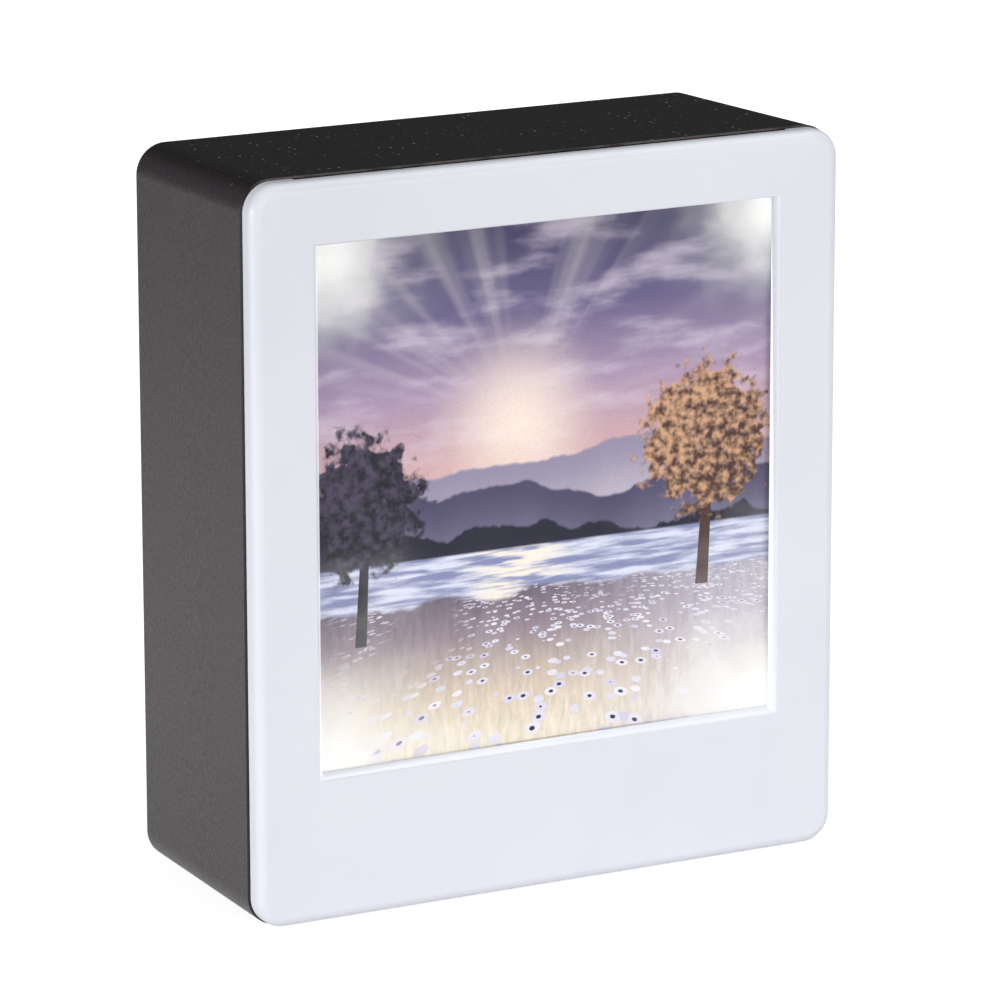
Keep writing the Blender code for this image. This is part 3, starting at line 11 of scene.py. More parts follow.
# %% Load the solids
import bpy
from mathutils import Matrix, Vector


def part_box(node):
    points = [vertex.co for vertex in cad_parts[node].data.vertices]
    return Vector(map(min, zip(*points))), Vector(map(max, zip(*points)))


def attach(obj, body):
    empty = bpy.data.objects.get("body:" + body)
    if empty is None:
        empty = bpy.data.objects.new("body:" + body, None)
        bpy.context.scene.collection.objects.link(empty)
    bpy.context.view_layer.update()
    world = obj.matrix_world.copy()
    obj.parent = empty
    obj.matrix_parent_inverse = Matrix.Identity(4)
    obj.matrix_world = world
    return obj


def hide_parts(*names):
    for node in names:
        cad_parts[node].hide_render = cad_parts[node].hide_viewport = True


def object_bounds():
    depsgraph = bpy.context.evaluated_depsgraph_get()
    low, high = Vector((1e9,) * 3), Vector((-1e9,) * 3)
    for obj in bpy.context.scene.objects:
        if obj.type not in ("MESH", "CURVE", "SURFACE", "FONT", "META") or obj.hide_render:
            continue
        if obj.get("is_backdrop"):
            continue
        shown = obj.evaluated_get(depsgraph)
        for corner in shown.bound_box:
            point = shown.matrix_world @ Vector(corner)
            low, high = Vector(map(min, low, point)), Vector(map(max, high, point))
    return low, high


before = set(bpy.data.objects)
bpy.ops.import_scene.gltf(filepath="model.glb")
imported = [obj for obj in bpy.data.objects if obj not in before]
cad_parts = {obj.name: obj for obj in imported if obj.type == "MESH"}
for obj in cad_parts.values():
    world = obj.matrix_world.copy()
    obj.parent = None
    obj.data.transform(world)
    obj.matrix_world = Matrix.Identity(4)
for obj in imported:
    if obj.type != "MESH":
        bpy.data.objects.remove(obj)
cad_box = [list(corner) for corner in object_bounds()]

import math

import bmesh
import bpy
from mathutils import Matrix, Vector

MM = 0.001
print("solids:", len(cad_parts), "box in mm:",
      [[round(v / MM, 1) for v in corner] for corner in cad_box])

# %% [markdown]
# ## Arithmetic on nodes
# A pattern is a sum written with nodes, and a long one is hard to read as a web of links. It
# could be wired by hand, one Math node at a time. Here a small class wraps a socket instead, and
# its operators add the Math nodes, so that `1 - mask * 0.5` is written as it is thought.

# %% A socket that can be added and multiplied
def math_node(operation, swapped=False):
    """A method that adds one Math node; swapped, the wire itself is the last value."""
    def method(self, *others):
        values = (*others, self) if swapped else (self, *others)
        return self.nodes.add("ShaderNodeMath", {"operation": operation}, dict(enumerate(values)))
    return method


class Wire:
    """A node's output; arithmetic on it adds Math nodes to its tree."""

    def __init__(self, nodes, socket):
        self.nodes = nodes
        self.socket = socket

    __add__ = __radd__ = math_node("ADD")
    __sub__ = math_node("SUBTRACT")
    __rsub__ = math_node("SUBTRACT", swapped=True)
    __mul__ = __rmul__ = math_node("MULTIPLY")
    __truediv__ = math_node("DIVIDE")
    __rtruediv__ = math_node("DIVIDE", swapped=True)
    __pow__ = math_node("POWER")
    __gt__ = math_node("GREATER_THAN")
    __lt__ = math_node("LESS_THAN")
    __abs__ = math_node("ABSOLUTE")
    most = math_node("MAXIMUM")
    least = math_node("MINIMUM")
    cos = math_node("COSINE")
    sin = math_node("SINE")
    exp = math_node("EXPONENT")
    sign = math_node("SIGN")
    arctan2 = math_node("ARCTAN2")
    wrap = math_node("WRAP")

    def other(self, name):
        """Another output of the same node."""
        return Wire(self.nodes, self.socket.node.outputs[name])

    def smooth(self, low, high):
        """0 below low, 1 above high and a soft step between."""
        return self.nodes.add("ShaderNodeMapRange", {"interpolation_type": "SMOOTHSTEP"},
                              {"Value": self, "From Min": low, "From Max": high})


# %% [markdown]
# Every other node comes from one method. It takes the node's type, then its settings, then the
# values or links of its sockets. The order matters, because some settings decide which sockets
# the node has. The same method serves shader trees and geometry trees. Colours of ramps and
# mixes are written as a screen shows them, and one function makes them linear for the shader.

# %% A tree that adds nodes
def screen(red, green, blue):
    """A colour as seen on a screen, 0 to 255, as the linear values that a shader takes."""
    parts = [v / 255.0 for v in (red, green, blue)]
    return tuple(v / 12.92 if v <= 0.04045 else ((v + 0.055) / 1.055) ** 2.4 for v in parts) + (1.0,)


class Nodes:
    """Adds nodes to one tree."""

    def __init__(self, tree):
        self.tree = tree

    def add(self, kind, settings=None, sockets=None, out=0):
        made = self.tree.nodes.new(kind)
        for name, value in (settings or {}).items():
            if name == "stops":
                self.set_stops(made.color_ramp, value)
            else:
                setattr(made, name, value)
        for key, value in (sockets or {}).items():
            self.feed(made.inputs[key], value)
        return Wire(self, made.outputs[out])

    def feed(self, socket, value):
        if isinstance(value, Wire):
            self.tree.links.new(value.socket, socket)
        else:
            socket.default_value = value

    def set_stops(self, ramp, stops):
        while len(ramp.elements) < len(stops):
            ramp.elements.new(1.0)
        for element, (position, colour) in zip(ramp.elements, stops):
            element.position = position
            element.color = screen(*colour)

    def vector(self, operation, *values):
        return self.add("ShaderNodeVectorMath", {"operation": operation}, dict(enumerate(values)))

    def split(self, vector):
        """X, Y and Z of a vector."""
        x = self.add("ShaderNodeSeparateXYZ", None, {"Vector": vector})
        return x, x.other("Y"), x.other("Z")

    def join(self, x=0.0, y=0.0, z=0.0):
        return self.add("ShaderNodeCombineXYZ", None, {"X": x, "Y": y, "Z": z})


# %% [markdown]
# ## Finishes
# Each finish is one Principled shader. What is the same all over the surface, such as how clear
# or how metallic it is, is set on the shader itself. What changes over the surface comes from
# patterns on Object coordinates, which are here the object's own millimetres, so a grain of
# 0.4 mm is written as 0.4 mm.

# %% One finish and its patterns
class Finish(Nodes):
    """A material with its own place in millimetres."""

    def __init__(self, name, constants):
        self.material = bpy.data.materials.new(name)
        self.material.use_nodes = True
        super().__init__(self.material.node_tree)
        self.shader = self.tree.nodes["Principled BSDF"]
        for socket, value in constants.items():
            self.shader.inputs[socket].default_value = value
        metres = self.add("ShaderNodeTexCoord", out="Object")
        self.place = self.add("ShaderNodeVectorMath", {"operation": "SCALE"}, {0: metres, "Scale": 1.0 / MM})

    def noise(self, size, detail=2.0, stretch=(1.0, 1.0, 1.0), shift=0.0, place=None):
        """Soft noise from 0 to 1 with features of about this size in millimetres."""
        spread = tuple(1.0 / (size * s) for s in stretch)
        scaled = self.vector("MULTIPLY", place or self.place, spread)
        moved = self.vector("ADD", scaled, (shift, shift * 1.7, shift * 2.3))
        return self.add("ShaderNodeTexNoise", None, {"Vector": moved, "Scale": 1.0, "Detail": detail})

    def carried(self, name):
        """A number that the points of the mesh carry."""
        return self.add("ShaderNodeAttribute", {"attribute_name": name}, out="Fac")

    def mix(self, factor, first, second):
        """From the first colour to the second as the factor goes from 0 to 1; plain ones as on a screen."""
        first, second = [c if isinstance(c, Wire) else screen(*c) for c in (first, second)]
        return self.add("ShaderNodeMix", {"data_type": "RGBA"}, {0: factor, 6: first, 7: second}, out=2)

    def shade(self, colour, amount):
        """A colour made lighter or darker by a factor."""
        return self.add("ShaderNodeVectorMath", {"operation": "SCALE"}, {0: colour, "Scale": amount})

    def bump(self, height, depth):
        """Relief: the height runs from 0 to 1 over this many millimetres."""
        normal = self.add("ShaderNodeBump", None, {"Height": height, "Distance": depth * MM, "Strength": 1.0})
        self.feed(self.shader.inputs["Normal"], normal)

    def give(self, sockets):
        for name, value in sockets.items():
            self.feed(self.shader.inputs[name], value)
        return self.material


# %% [markdown]
# ### Black case plastic
# The case is moulded in a spark-eroded tool, so its black is broken by a very fine, dull grain
# and shows no clear reflections. A photograph of real plastic would do, but noise of three sizes
# gives the same look at any distance: a 0.35 mm grain in colour and relief, a mottle of 0.7 mm in
# the sheen, and slow clouds many millimetres wide. Dust lies on faces that look up, most of all
# along the front rim, where the pale line is partly dust and partly a painted highlight on the
# rim's edge. Faces that look up are also painted darker, a painted shade.

# %% Case plastic
def case_plastic():
    made = Finish("case_black", {"Specular IOR Level": 0.0, "Coat Roughness": 0.45})
    grain = made.noise(0.35, 3.0)
    mottle = made.noise(0.7, 4.0, shift=6.0)
    clouds = made.noise(16.0)
    up = made.split(made.add("ShaderNodeTexCoord", out="Normal"))[2].smooth(0.5, 0.9)
    x, depth, _ = made.split(made.place)
    specks = made.add("ShaderNodeTexVoronoi", {"voronoi_dimensions": "2D"},
                      {"Vector": made.join(x, depth * 0.6), "Scale": 0.5}, out="Distance")
    settled = made.noise(9.0, shift=4.0)
    bright = made.split(specks.other("Color"))[0] ** 3.5 * 1.4
    dust_and_rim_highlight = (1 - specks.smooth(0.07, 0.14)) * settled.smooth(0.45, 0.6) * bright
    rim = 1 - (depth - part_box("rear_case")[0].y / MM).smooth(0.2, 0.5)
    # The line along the front rim is partly dust and partly a painted highlight on the rim's edge.
    dust_and_rim_highlight = dust_and_rim_highlight.most(rim * settled.smooth(0.35, 0.55) * 0.4) * up
    colour = made.mix(grain.smooth(0.3, 0.7), (39, 32, 37), (48, 41, 45))
    # Faces that look up are painted darker here: a painted shade.
    colour = made.shade(colour, 0.94 + clouds * 0.12 - up * 0.7)
    colour = made.mix(dust_and_rim_highlight * 0.8, colour, (168, 160, 152))
    made.bump(grain, 0.035)
    return made.give({"Base Color": colour, "Roughness": 0.58 + grain * 0.14,
                      "Coat Weight": (0.52 + mottle * 0.8 - up * 0.22) * (1 - rim * 0.7)})


case_finish = case_plastic()
print("case plastic:", len(case_finish.node_tree.nodes), "nodes")

# %% [markdown]
# ### White bezel plastic
# The bezel is a glossier, faintly blue white, moulded in a polished tool. Its face is not quite
# flat or even: there are slow flow marks and a soft orange peel. Its upper part, most of all at
# the left, is painted a little darker, a painted shade. Light from the lamps seeps into the
# walls of the opening, which a faint glow there stands for.

# %% Bezel plastic
OPENING_X = 49.3 * MM
OPENING_LOW = 28.1 * MM
OPENING_HIGH = 130.0 * MM


def opening_walls(x, depth, z):
    """Light in the walls of the opening, most of it deep in the side walls, and 0 elsewhere."""
    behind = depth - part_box("front_bezel")[0].y / MM
    inside = (abs(x) < OPENING_X / MM + 0.1) * (z > OPENING_LOW / MM) * (z < OPENING_HIGH / MM + 0.1)
    deep = behind.smooth(0.7, 1.4) * (abs(x) > OPENING_X / MM - 1.2)
    return inside * behind.smooth(0.1, 0.4) * (behind < 1.7) * (0.08 + deep * 0.35)


def bezel_plastic():
    made = Finish("bezel_white", {"IOR": 1.5, "Specular IOR Level": 0.35, "Emission Strength": 1.0})
    clouds = made.noise(22.0, shift=1.0)
    peel = made.noise(2.6, 1.0, shift=2.0)
    fine = made.noise(0.5, shift=3.0)
    colour = made.mix(clouds, (223, 225, 234), (230, 231, 238))
    x, depth, z = made.split(made.place)
    # The upper part, most of all at the left, is painted darker: a painted shade.
    painted_top_shade = z.smooth(30.0, 150.0) * (0.07 + (30.0 - x).smooth(0.0, 90.0) * 0.05)
    colour = made.shade(colour, 0.992 + fine * 0.016 - painted_top_shade)
    seep = made.shade(colour, opening_walls(x, depth, z))
    made.bump(peel * 0.8 + fine * 0.2, 0.02)
    return made.give({"Base Color": colour, "Emission Color": seep,
                      "Roughness": 0.3 + clouds * 0.08 + fine * 0.04})


bezel_finish = bezel_plastic()
print("bezel plastic:", len(bezel_finish.node_tree.nodes), "nodes")

# %% [markdown]
# ## Building meshes
# The pieces are closed solids. Most are made by joining rings of points, or by cutting and
# joining simple solids, so helpers for both come first. Every finished piece keeps its place in
# its mesh and its object at the origin, as the solids do.

# %% Rings, cuts and joins
def link(name, data):
    """An object in the scene."""
    made = bpy.data.objects.new(name, data)
    bpy.context.scene.collection.objects.link(made)
    return made


def keep_mesh(name, work):
    """An object with the mesh that was worked on."""
    mesh = bpy.data.meshes.new(name)
    work.to_mesh(mesh)
    work.free()
    return link(name, mesh)


def solid(name, vertices, faces):
    """A closed mesh whose faces look outwards."""
    work = bmesh.new()
    points = [work.verts.new(v) for v in vertices]
    for face in faces:
        work.faces.new([points[i] for i in face])
    bmesh.ops.recalc_face_normals(work, faces=work.faces)
    return keep_mesh(name, work)


def loft(name, rings):
    """Rings of equal length joined by quads and closed at both ends."""
    count = len(rings[0])
    faces = [list(range(count)), list(range((len(rings) - 1) * count, len(rings) * count))]
    for level in range(len(rings) - 1):
        for i in range(count):
            a = level * count + i
            b = level * count + (i + 1) % count
            faces.append((a, b, b + count, a + count))
    return solid(name, [p for ring in rings for p in ring], faces)


def plain(piece):
    """Replace an object's mesh by what its modifiers make of it, and drop the modifiers."""
    bpy.context.view_layer.update()
    result = bpy.data.meshes.new_from_object(piece.evaluated_get(bpy.context.evaluated_depsgraph_get()))
    piece.modifiers.clear()
    piece.data = result
    result.name = piece.name
    return piece


def modify(piece, kind, **settings):
    step = piece.modifiers.new(kind.lower(), kind)
    for name, value in settings.items():
        setattr(step, name, value)
    return step


def combine(piece, operation, *others):
    """Cut or join with other objects, which are used up."""
    for other in others:
        modify(piece, "BOOLEAN", operation=operation, solver="EXACT", object=other)
    plain(piece)
    for other in others:
        bpy.data.objects.remove(other, do_unlink=True)
    return piece


# %% [markdown]
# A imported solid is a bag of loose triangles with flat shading. That is right for a flat part,
# but a round one shows its facets. The cheapest cure is a copy whose corners are merged and
# whose shading is smooth up to an angle. The last helpers put a finished piece on its body, in
# place of the solids that it stands for.

# %% Copies of solids, and fitting a piece
SMOOTH_ANGLE = math.radians(38.0)
MERGE = 0.002 * MM


def merged(node, name):
    """A copy of a solid with its triangles joined and its flat faces whole."""
    work = bmesh.new()
    work.from_mesh(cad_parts[node].data)
    bmesh.ops.remove_doubles(work, verts=work.verts, dist=MERGE)
    bmesh.ops.dissolve_limit(work, angle_limit=math.radians(0.5), verts=work.verts, edges=work.edges)
    piece = keep_mesh(name, work)
    piece.data.attributes.remove(piece.data.attributes["custom_normal"])
    return piece


def fit(piece, body, slot, finish, *nodes, bevel=0.0):
    """Smooth a piece, finish it, and let it ride on its body for the nodes that it replaces."""
    if bevel:
        modify(piece, "BEVEL", width=bevel, segments=2, limit_method="ANGLE", angle_limit=SMOOTH_ANGLE)
        plain(piece)
    piece.data.shade_smooth()
    piece.data.set_sharp_from_angle(angle=SMOOTH_ANGLE)
    piece.data.materials.clear()
    piece.data.materials.append(finish)
    modify(piece, "WEIGHTED_NORMAL", keep_sharp=True)
    plain(piece)
    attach(piece, body)
    if nodes:
        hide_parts(*nodes)
    print(f"{piece.name}: {len(piece.data.polygons)} faces")


def dress(node, name, body, slot, finish, bevel=0.0):
    """Fit a merged copy of a solid in the solid's place."""
    fit(merged(node, name), body, slot, finish, node, bevel=bevel)


def paint(node, finish):
    """Give a solid that stays a finish of its own."""
    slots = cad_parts[node].data.materials
    slots.clear()
    slots.append(finish)


# %% [markdown]
# ## Growing shapes with Geometry Nodes
# Shapes that follow a rule are grown by a tree: a rim that sweeps one section round a rounded
# rectangle, screws that repeat, a coil that tapers. The tree gets named inputs for its sizes,
# and an object runs it once. The result is kept as a plain mesh, so nothing is left to run.

# %% A tree with named inputs, and an object that runs it
SOCKETS = {float: "NodeSocketFloat", int: "NodeSocketInt", bpy.types.Material: "NodeSocketMaterial",
           bpy.types.Object: "NodeSocketObject"}


def new_tree(name, inputs):
    """A geometry tree, its nodes, and its inputs as wires by name."""
    tree = bpy.data.node_groups.new(name, "GeometryNodeTree")
    tree.interface.new_socket("Geometry", in_out="INPUT", socket_type="NodeSocketGeometry")
    for label, kind in inputs.items():
        tree.interface.new_socket(label, in_out="INPUT", socket_type=SOCKETS[kind])
    tree.interface.new_socket("Geometry", in_out="OUTPUT", socket_type="NodeSocketGeometry")
    nodes = Nodes(tree)
    start = tree.nodes.new("NodeGroupInput")
    return tree, nodes, {socket.name: Wire(nodes, socket) for socket in start.outputs if socket.name}


def end_tree(nodes, geometry, material):
    """Every tree ends alike: instances become real, the finish is set and the result goes out."""
    real = nodes.add("GeometryNodeRealizeInstances", None, {"Geometry": geometry})
    done = nodes.add("GeometryNodeSetMaterial", None, {"Geometry": real, "Material": material})
    finish = nodes.tree.nodes.new("NodeGroupOutput")
    nodes.tree.links.new(done.socket, finish.inputs["Geometry"])


def grow(name, start, tree, values):
    """Run a tree on a mesh and keep the result."""
    piece = link(name, start)
    step = modify(piece, "NODES", node_group=tree)
    for item in tree.interface.items_tree:
        if item.in_out == "INPUT" and item.name in values:
            step[item.identifier] = values[item.name]
    return plain(piece)


def polyline(name, points, closed=False):
    """A mesh of edges through points, for a tree to use as a section or a path."""
    edges = [(i, i + 1) for i in range(len(points) - 1)]
    if closed:
        edges.append((len(points) - 1, 0))
    mesh = bpy.data.meshes.new(name)
    mesh.from_pydata(points, edges, [])
    return mesh


# %% [markdown]
# ## The two moulded rims
# The case and the bezel are the same kind of shape: one section, carried round a rounded
# rectangle. The bezel's section has a quarter round at the face; the case's has a chamfer at the
# seam and a small round at the back. The sweep gives corners that are truly round. Points are
# then drawn in with depth, because a deep moulding tapers so that it leaves its tool.

# %% The tree that sweeps a rim
def rim_tree():
    tree, nodes, given = new_tree("moulded_rim", {
        "Width": float, "Height": float, "Corner": float, "Steps": int,
        "Taper": float, "Taper start": float, "Taper run": float, "Finish": bpy.types.Material})
    straight = nodes.add("GeometryNodeCurvePrimitiveQuadrilateral", {"mode": "RECTANGLE"},
                         {"Width": given["Width"], "Height": given["Height"]})
    rail = nodes.add("GeometryNodeFilletCurve", {"mode": "POLY"},
                     {"Curve": straight, "Radius": given["Corner"], "Count": given["Steps"]})
    section = nodes.add("GeometryNodeMeshToCurve", None, {"Mesh": given["Geometry"]})
    swept = nodes.add("GeometryNodeCurveToMesh", None, {"Curve": rail, "Profile Curve": section})
    half_height = given["Height"] * 0.5
    upright = nodes.add("GeometryNodeTransform", None, {
        "Geometry": swept, "Rotation": (math.pi / 2, 0.0, 0.0), "Translation": nodes.join(z=half_height)})
    x, y, z = nodes.split(nodes.add("GeometryNodeInputPosition"))
    drawn = ((y - given["Taper start"]) / given["Taper run"]).most(0.0) * given["Taper"]
    shift = nodes.join(x=0 - x.sign() * drawn, z=0 - (z > half_height) * drawn)
    tapered = nodes.add("GeometryNodeSetPosition", None, {"Geometry": upright, "Offset": shift})
    end_tree(nodes, tapered, given["Finish"])
    return tree


moulded_rim = rim_tree()
print("rim tree:", len(moulded_rim.nodes), "nodes")

# %% [markdown]
# ### The bezel
# Sizes repeat those of the solid: the face is 1.6 mm thick, its outer edge is rounded by 2 mm,
# and the square opening has a fine chamfer at the face. Its walls slope in to the print, save the
# top one. The rim is swept, a flat plate closes the middle, and the opening and the print's slot
# are cut. The posts, ribs and lip behind the face come from a copy of the solid's inner part.

# %% Bezel sizes
bezel_low, bezel_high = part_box("front_bezel")
case_low, case_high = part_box("rear_case")
FRONT = bezel_low.y
BACK = case_high.y
SEAM = case_low.y
BEZEL_BACK = SEAM - 0.2 * MM
BEZEL_ROUND = 2.0 * MM
BEZEL_FACE = 1.6 * MM
BEZEL_WALL = 2.0 * MM
BEZEL_EDGE = 0.12 * MM
BEZEL_FLANGE = 0.6 * MM
PLATE_INSET = BEZEL_WALL + 0.3 * MM
CORNER = 5.7 * MM
CORNER_STEPS = 20
ROUND_STEPS = 14
OPENING_SLOPE = 1.1 * MM
OPENING_CHAMFER = 0.3 * MM
OPENING_BREAK = 0.1 * MM
SLOT_X = 52.2 * MM
SLOT_DEPTH = 2.7 * MM
SLOT_BACK = 3.0 * MM
SLOT_FLOOR = 5.3 * MM
KEEP_INSET = 1.2 * MM
KEEP_DEPTHS = (0.8 * MM, 20.0 * MM)
OVER = 1.0 * MM  # how far a cutter reaches past what it cuts
print("bezel in mm:", [round(v / MM, 2) for v in bezel_high - bezel_low])


def rounded(half_width, low, high, radius, y, steps=CORNER_STEPS):
    """A rounded rectangle of points at one depth."""
    corners = [(half_width - radius, low + radius, 270), (half_width - radius, high - radius, 0),
               (radius - half_width, high - radius, 90), (radius - half_width, low + radius, 180)]
    points = []
    for centre_x, centre_z, start in corners:
        for k in range(steps + 1):
            angle = math.radians(start + 90.0 * k / steps)
            points.append((centre_x + radius * math.cos(angle), y, centre_z + radius * math.sin(angle)))
    return points


def block(name, x, y, z):
    """A box between pairs of coordinates."""
    return loft(name, [[(x[0], v, z[0]), (x[1], v, z[0]), (x[1], v, z[1]), (x[0], v, z[1])] for v in y])


def quarter(steps):
    """Sine and cosine at even steps of a quarter turn, both ends included."""
    angles = [math.pi / 2 * k / steps for k in range(steps + 1)]
    return [(math.sin(angle), math.cos(angle)) for angle in angles]


# %% Bezel section and skin
def bezel_ring(y, inset):
    """The bezel's outline at one depth, drawn in by an inset."""
    return rounded(bezel_high.x - inset, bezel_low.z + inset, bezel_high.z - inset, CORNER - inset, y)


def bezel_section():
    """Outward and backward distances of the rim's section."""
    flange = BEZEL_WALL + BEZEL_FLANGE
    points = [(-BEZEL_ROUND * (1 - sin), FRONT + BEZEL_ROUND * (1 - cos)) for sin, cos in quarter(ROUND_STEPS)]
    points += [(0.0, BEZEL_BACK - BEZEL_EDGE), (-BEZEL_EDGE, BEZEL_BACK), (-BEZEL_WALL, BEZEL_BACK),
               (-BEZEL_WALL, FRONT + BEZEL_FACE), (-flange, FRONT + BEZEL_FACE), (-flange, FRONT)]
    return [(outward, backward, 0.0) for outward, backward in points]


def bezel_skin():
    size = bezel_high - bezel_low
    rim = grow("bezel", polyline("bezel_section", bezel_section(), closed=True), moulded_rim, {
        "Width": size.x, "Height": size.z, "Corner": CORNER, "Steps": CORNER_STEPS,
        "Taper": 0.0, "Taper start": SEAM, "Taper run": 1.0, "Finish": bezel_finish})
    rim.data.transform(Matrix.Translation((0.0, 0.0, bezel_low.z)))
    plate = loft("plate", [bezel_ring(y, PLATE_INSET) for y in (FRONT, FRONT + BEZEL_FACE)])
    return combine(rim, "UNION", plate)


bezel = bezel_skin()
print("bezel skin in mm:", [round(v / MM, 2) for v in bezel.dimensions])

# %% Bezel back and opening
def opening_ring(depth, grow_by):
    half, low, high = OPENING_X + grow_by, OPENING_LOW - grow_by, OPENING_HIGH + max(grow_by, 0.0)
    return [(x, FRONT + depth, z) for x, z in ((-half, low), (half, low), (half, high), (-half, high))]


opening = loft("opening", [opening_ring(depth, grow_by) for depth, grow_by in (
    (-OVER, OPENING_CHAMFER + OVER), (0.0, OPENING_CHAMFER), (OPENING_BREAK, OPENING_BREAK),
    (OPENING_CHAMFER, 0.0), (BEZEL_FACE, -OPENING_SLOPE), (BEZEL_FACE + OVER, -OPENING_SLOPE))])
slot = block("slot", (-SLOT_X, SLOT_X), (FRONT + SLOT_DEPTH, SEAM + SLOT_BACK),
             (bezel_high.z - SLOT_FLOOR, bezel_high.z + OVER))
inner = merged("front_bezel", "bezel_inner")
keep = loft("keep", [bezel_ring(FRONT + depth, KEEP_INSET) for depth in KEEP_DEPTHS])
combine(inner, "INTERSECT", keep)
combine(bezel, "UNION", inner)
combine(bezel, "DIFFERENCE", opening, slot)
fit(bezel, "frame", "bezel_white", bezel_finish, "front_bezel")

# %% [markdown]
# ### The case
# The case is one deep tub. Its sides and top draw in by 1.2 mm towards the back, its base stays
# level. The same tree sweeps its wall: a chamfer at the seam, a long straight run and a small
# round at the back. Everything inside that wall, such as the bay, the screw towers, the door's
# rebate and the switch's recess, is taken over from the solid and joined to the new skin.

# %% Case sizes and skin
CASE_DRAFT = 1.2 * MM
CASE_CORNER = 6.0 * MM
CASE_CHAMFER = 0.35 * MM
CASE_ROUND = 0.9 * MM
CASE_SKIN = 1.7 * MM
CASE_RUN = BACK - SEAM


def case_section():
    """Outward and backward distances of the wall's section."""
    points = [(-CASE_SKIN, SEAM), (-CASE_CHAMFER, SEAM), (0.0, SEAM + CASE_CHAMFER)]
    points += [(-CASE_ROUND * (1 - cos), BACK - CASE_ROUND * (1 - sin)) for sin, cos in quarter(ROUND_STEPS)]
    points.append((-CASE_SKIN, BACK))
    return [(outward, backward, 0.0) for outward, backward in points]


def case_ring(y, inset):
    """The case's outline at one depth, drawn in by an inset."""
    taper = CASE_DRAFT * (y - SEAM) / CASE_RUN
    return rounded(case_high.x - taper - inset, inset, case_high.z - taper - inset, CASE_CORNER - inset, y)


case = grow("case", polyline("case_section", case_section(), closed=True), moulded_rim, {
    "Width": case_high.x - case_low.x, "Height": case_high.z, "Corner": CASE_CORNER, "Steps": CORNER_STEPS,
    "Taper": CASE_DRAFT, "Taper start": SEAM, "Taper run": CASE_RUN, "Finish": case_finish})
case_inner = merged("rear_case", "case_inner")
keep = loft("keep_case", [case_ring(y, KEEP_INSET) for y in (SEAM - OVER, BACK + OVER)])
combine(case_inner, "INTERSECT", keep)
combine(case, "UNION", case_inner)
fit(case, "frame", "case_black", case_finish, "rear_case")

# %% [markdown]
# ## The battery door and the switch's knob
# Both are small mouldings in the case's plastic. Their solids are right, but every edge of a
# real moulding is slightly round and catches a thread of light. A narrow bevel on a merged copy
# gives that for little work.

# %% Door and knob
DOOR_EDGE = 0.12 * MM
KNOB_EDGE = 0.1 * MM
dress("battery_door", "door_cover", "door", "case_black", case_finish, DOOR_EDGE)
dress("switch_slider", "switch_knob", "slider", "case_black", case_finish, KNOB_EDGE)

# %% [markdown]
# ## The picture
# The print is a generic landscape, drawn by the material itself: a lilac sky with the rays of a
# low sun, three hazy ridges, a lake, and two trees in a meadow with flowers. A picture file could
# be mapped on, but a procedural one stays sharp and needs no file. The picture is built from the
# back to the front, as a painter would: each layer is a colour and a mask, and covers what is
# behind it.

# %% Picture frame of reference
PICTURE_WIDTH = 96.4
PICTURE_LOW = 29.2
PICTURE_HEIGHT = 99.7
SUN = (0.44, 0.63)


class Picture(Finish):
    """A finish with a flat place: u from left to right and v from bottom to top, each 0 to 1."""

    def __init__(self, name, constants):
        super().__init__(name, constants)
        x, self.depth, z = self.split(self.place)
        self.u = x / PICTURE_WIDTH + 0.5
        self.v = (z - PICTURE_LOW) / PICTURE_HEIGHT
        self.flat = self.join(self.u, self.v)

    def ridge(self, behind, base, rise, size, shift, top, bottom):
        """A line of hills across the picture, hazier towards its foot."""
        line = base + (self.noise(size, 5.0, shift=shift, place=self.join(self.u)) - 0.5) * rise
        below = line - self.v
        layer = self.mix(below.smooth(0.0, 0.16), top, bottom)
        return self.mix(below.smooth(0.0, 0.008), behind, layer)

    def crown(self, behind, centre, size, shift, dark, light):
        """A round crown with a ragged edge, and its trunk."""
        across = (self.u - centre[0]) / size[0]
        up = (self.v - centre[1]) / size[1]
        leaves = self.noise(0.03, 6.0, shift=shift, place=self.flat)
        edge = (across * across + up * up) ** 0.5 + (leaves - 0.5) * 1.3
        dapple = self.noise(0.016, 4.0, shift=shift + 3.0, place=self.flat) + (up - across) * 0.05
        colour = self.mix(dapple.smooth(0.34, 0.7), dark, light)
        trunk = (abs(across - (up + 1.0) * 0.06) < 0.05 - up * 0.02) * (up < 0.2) * (up > -1.7)
        crowned = self.mix(trunk, behind, dark)
        return self.mix(1 - edge.smooth(0.72, 0.92), crowned, colour)


print("picture in mm:", PICTURE_WIDTH, "x", PICTURE_HEIGHT)

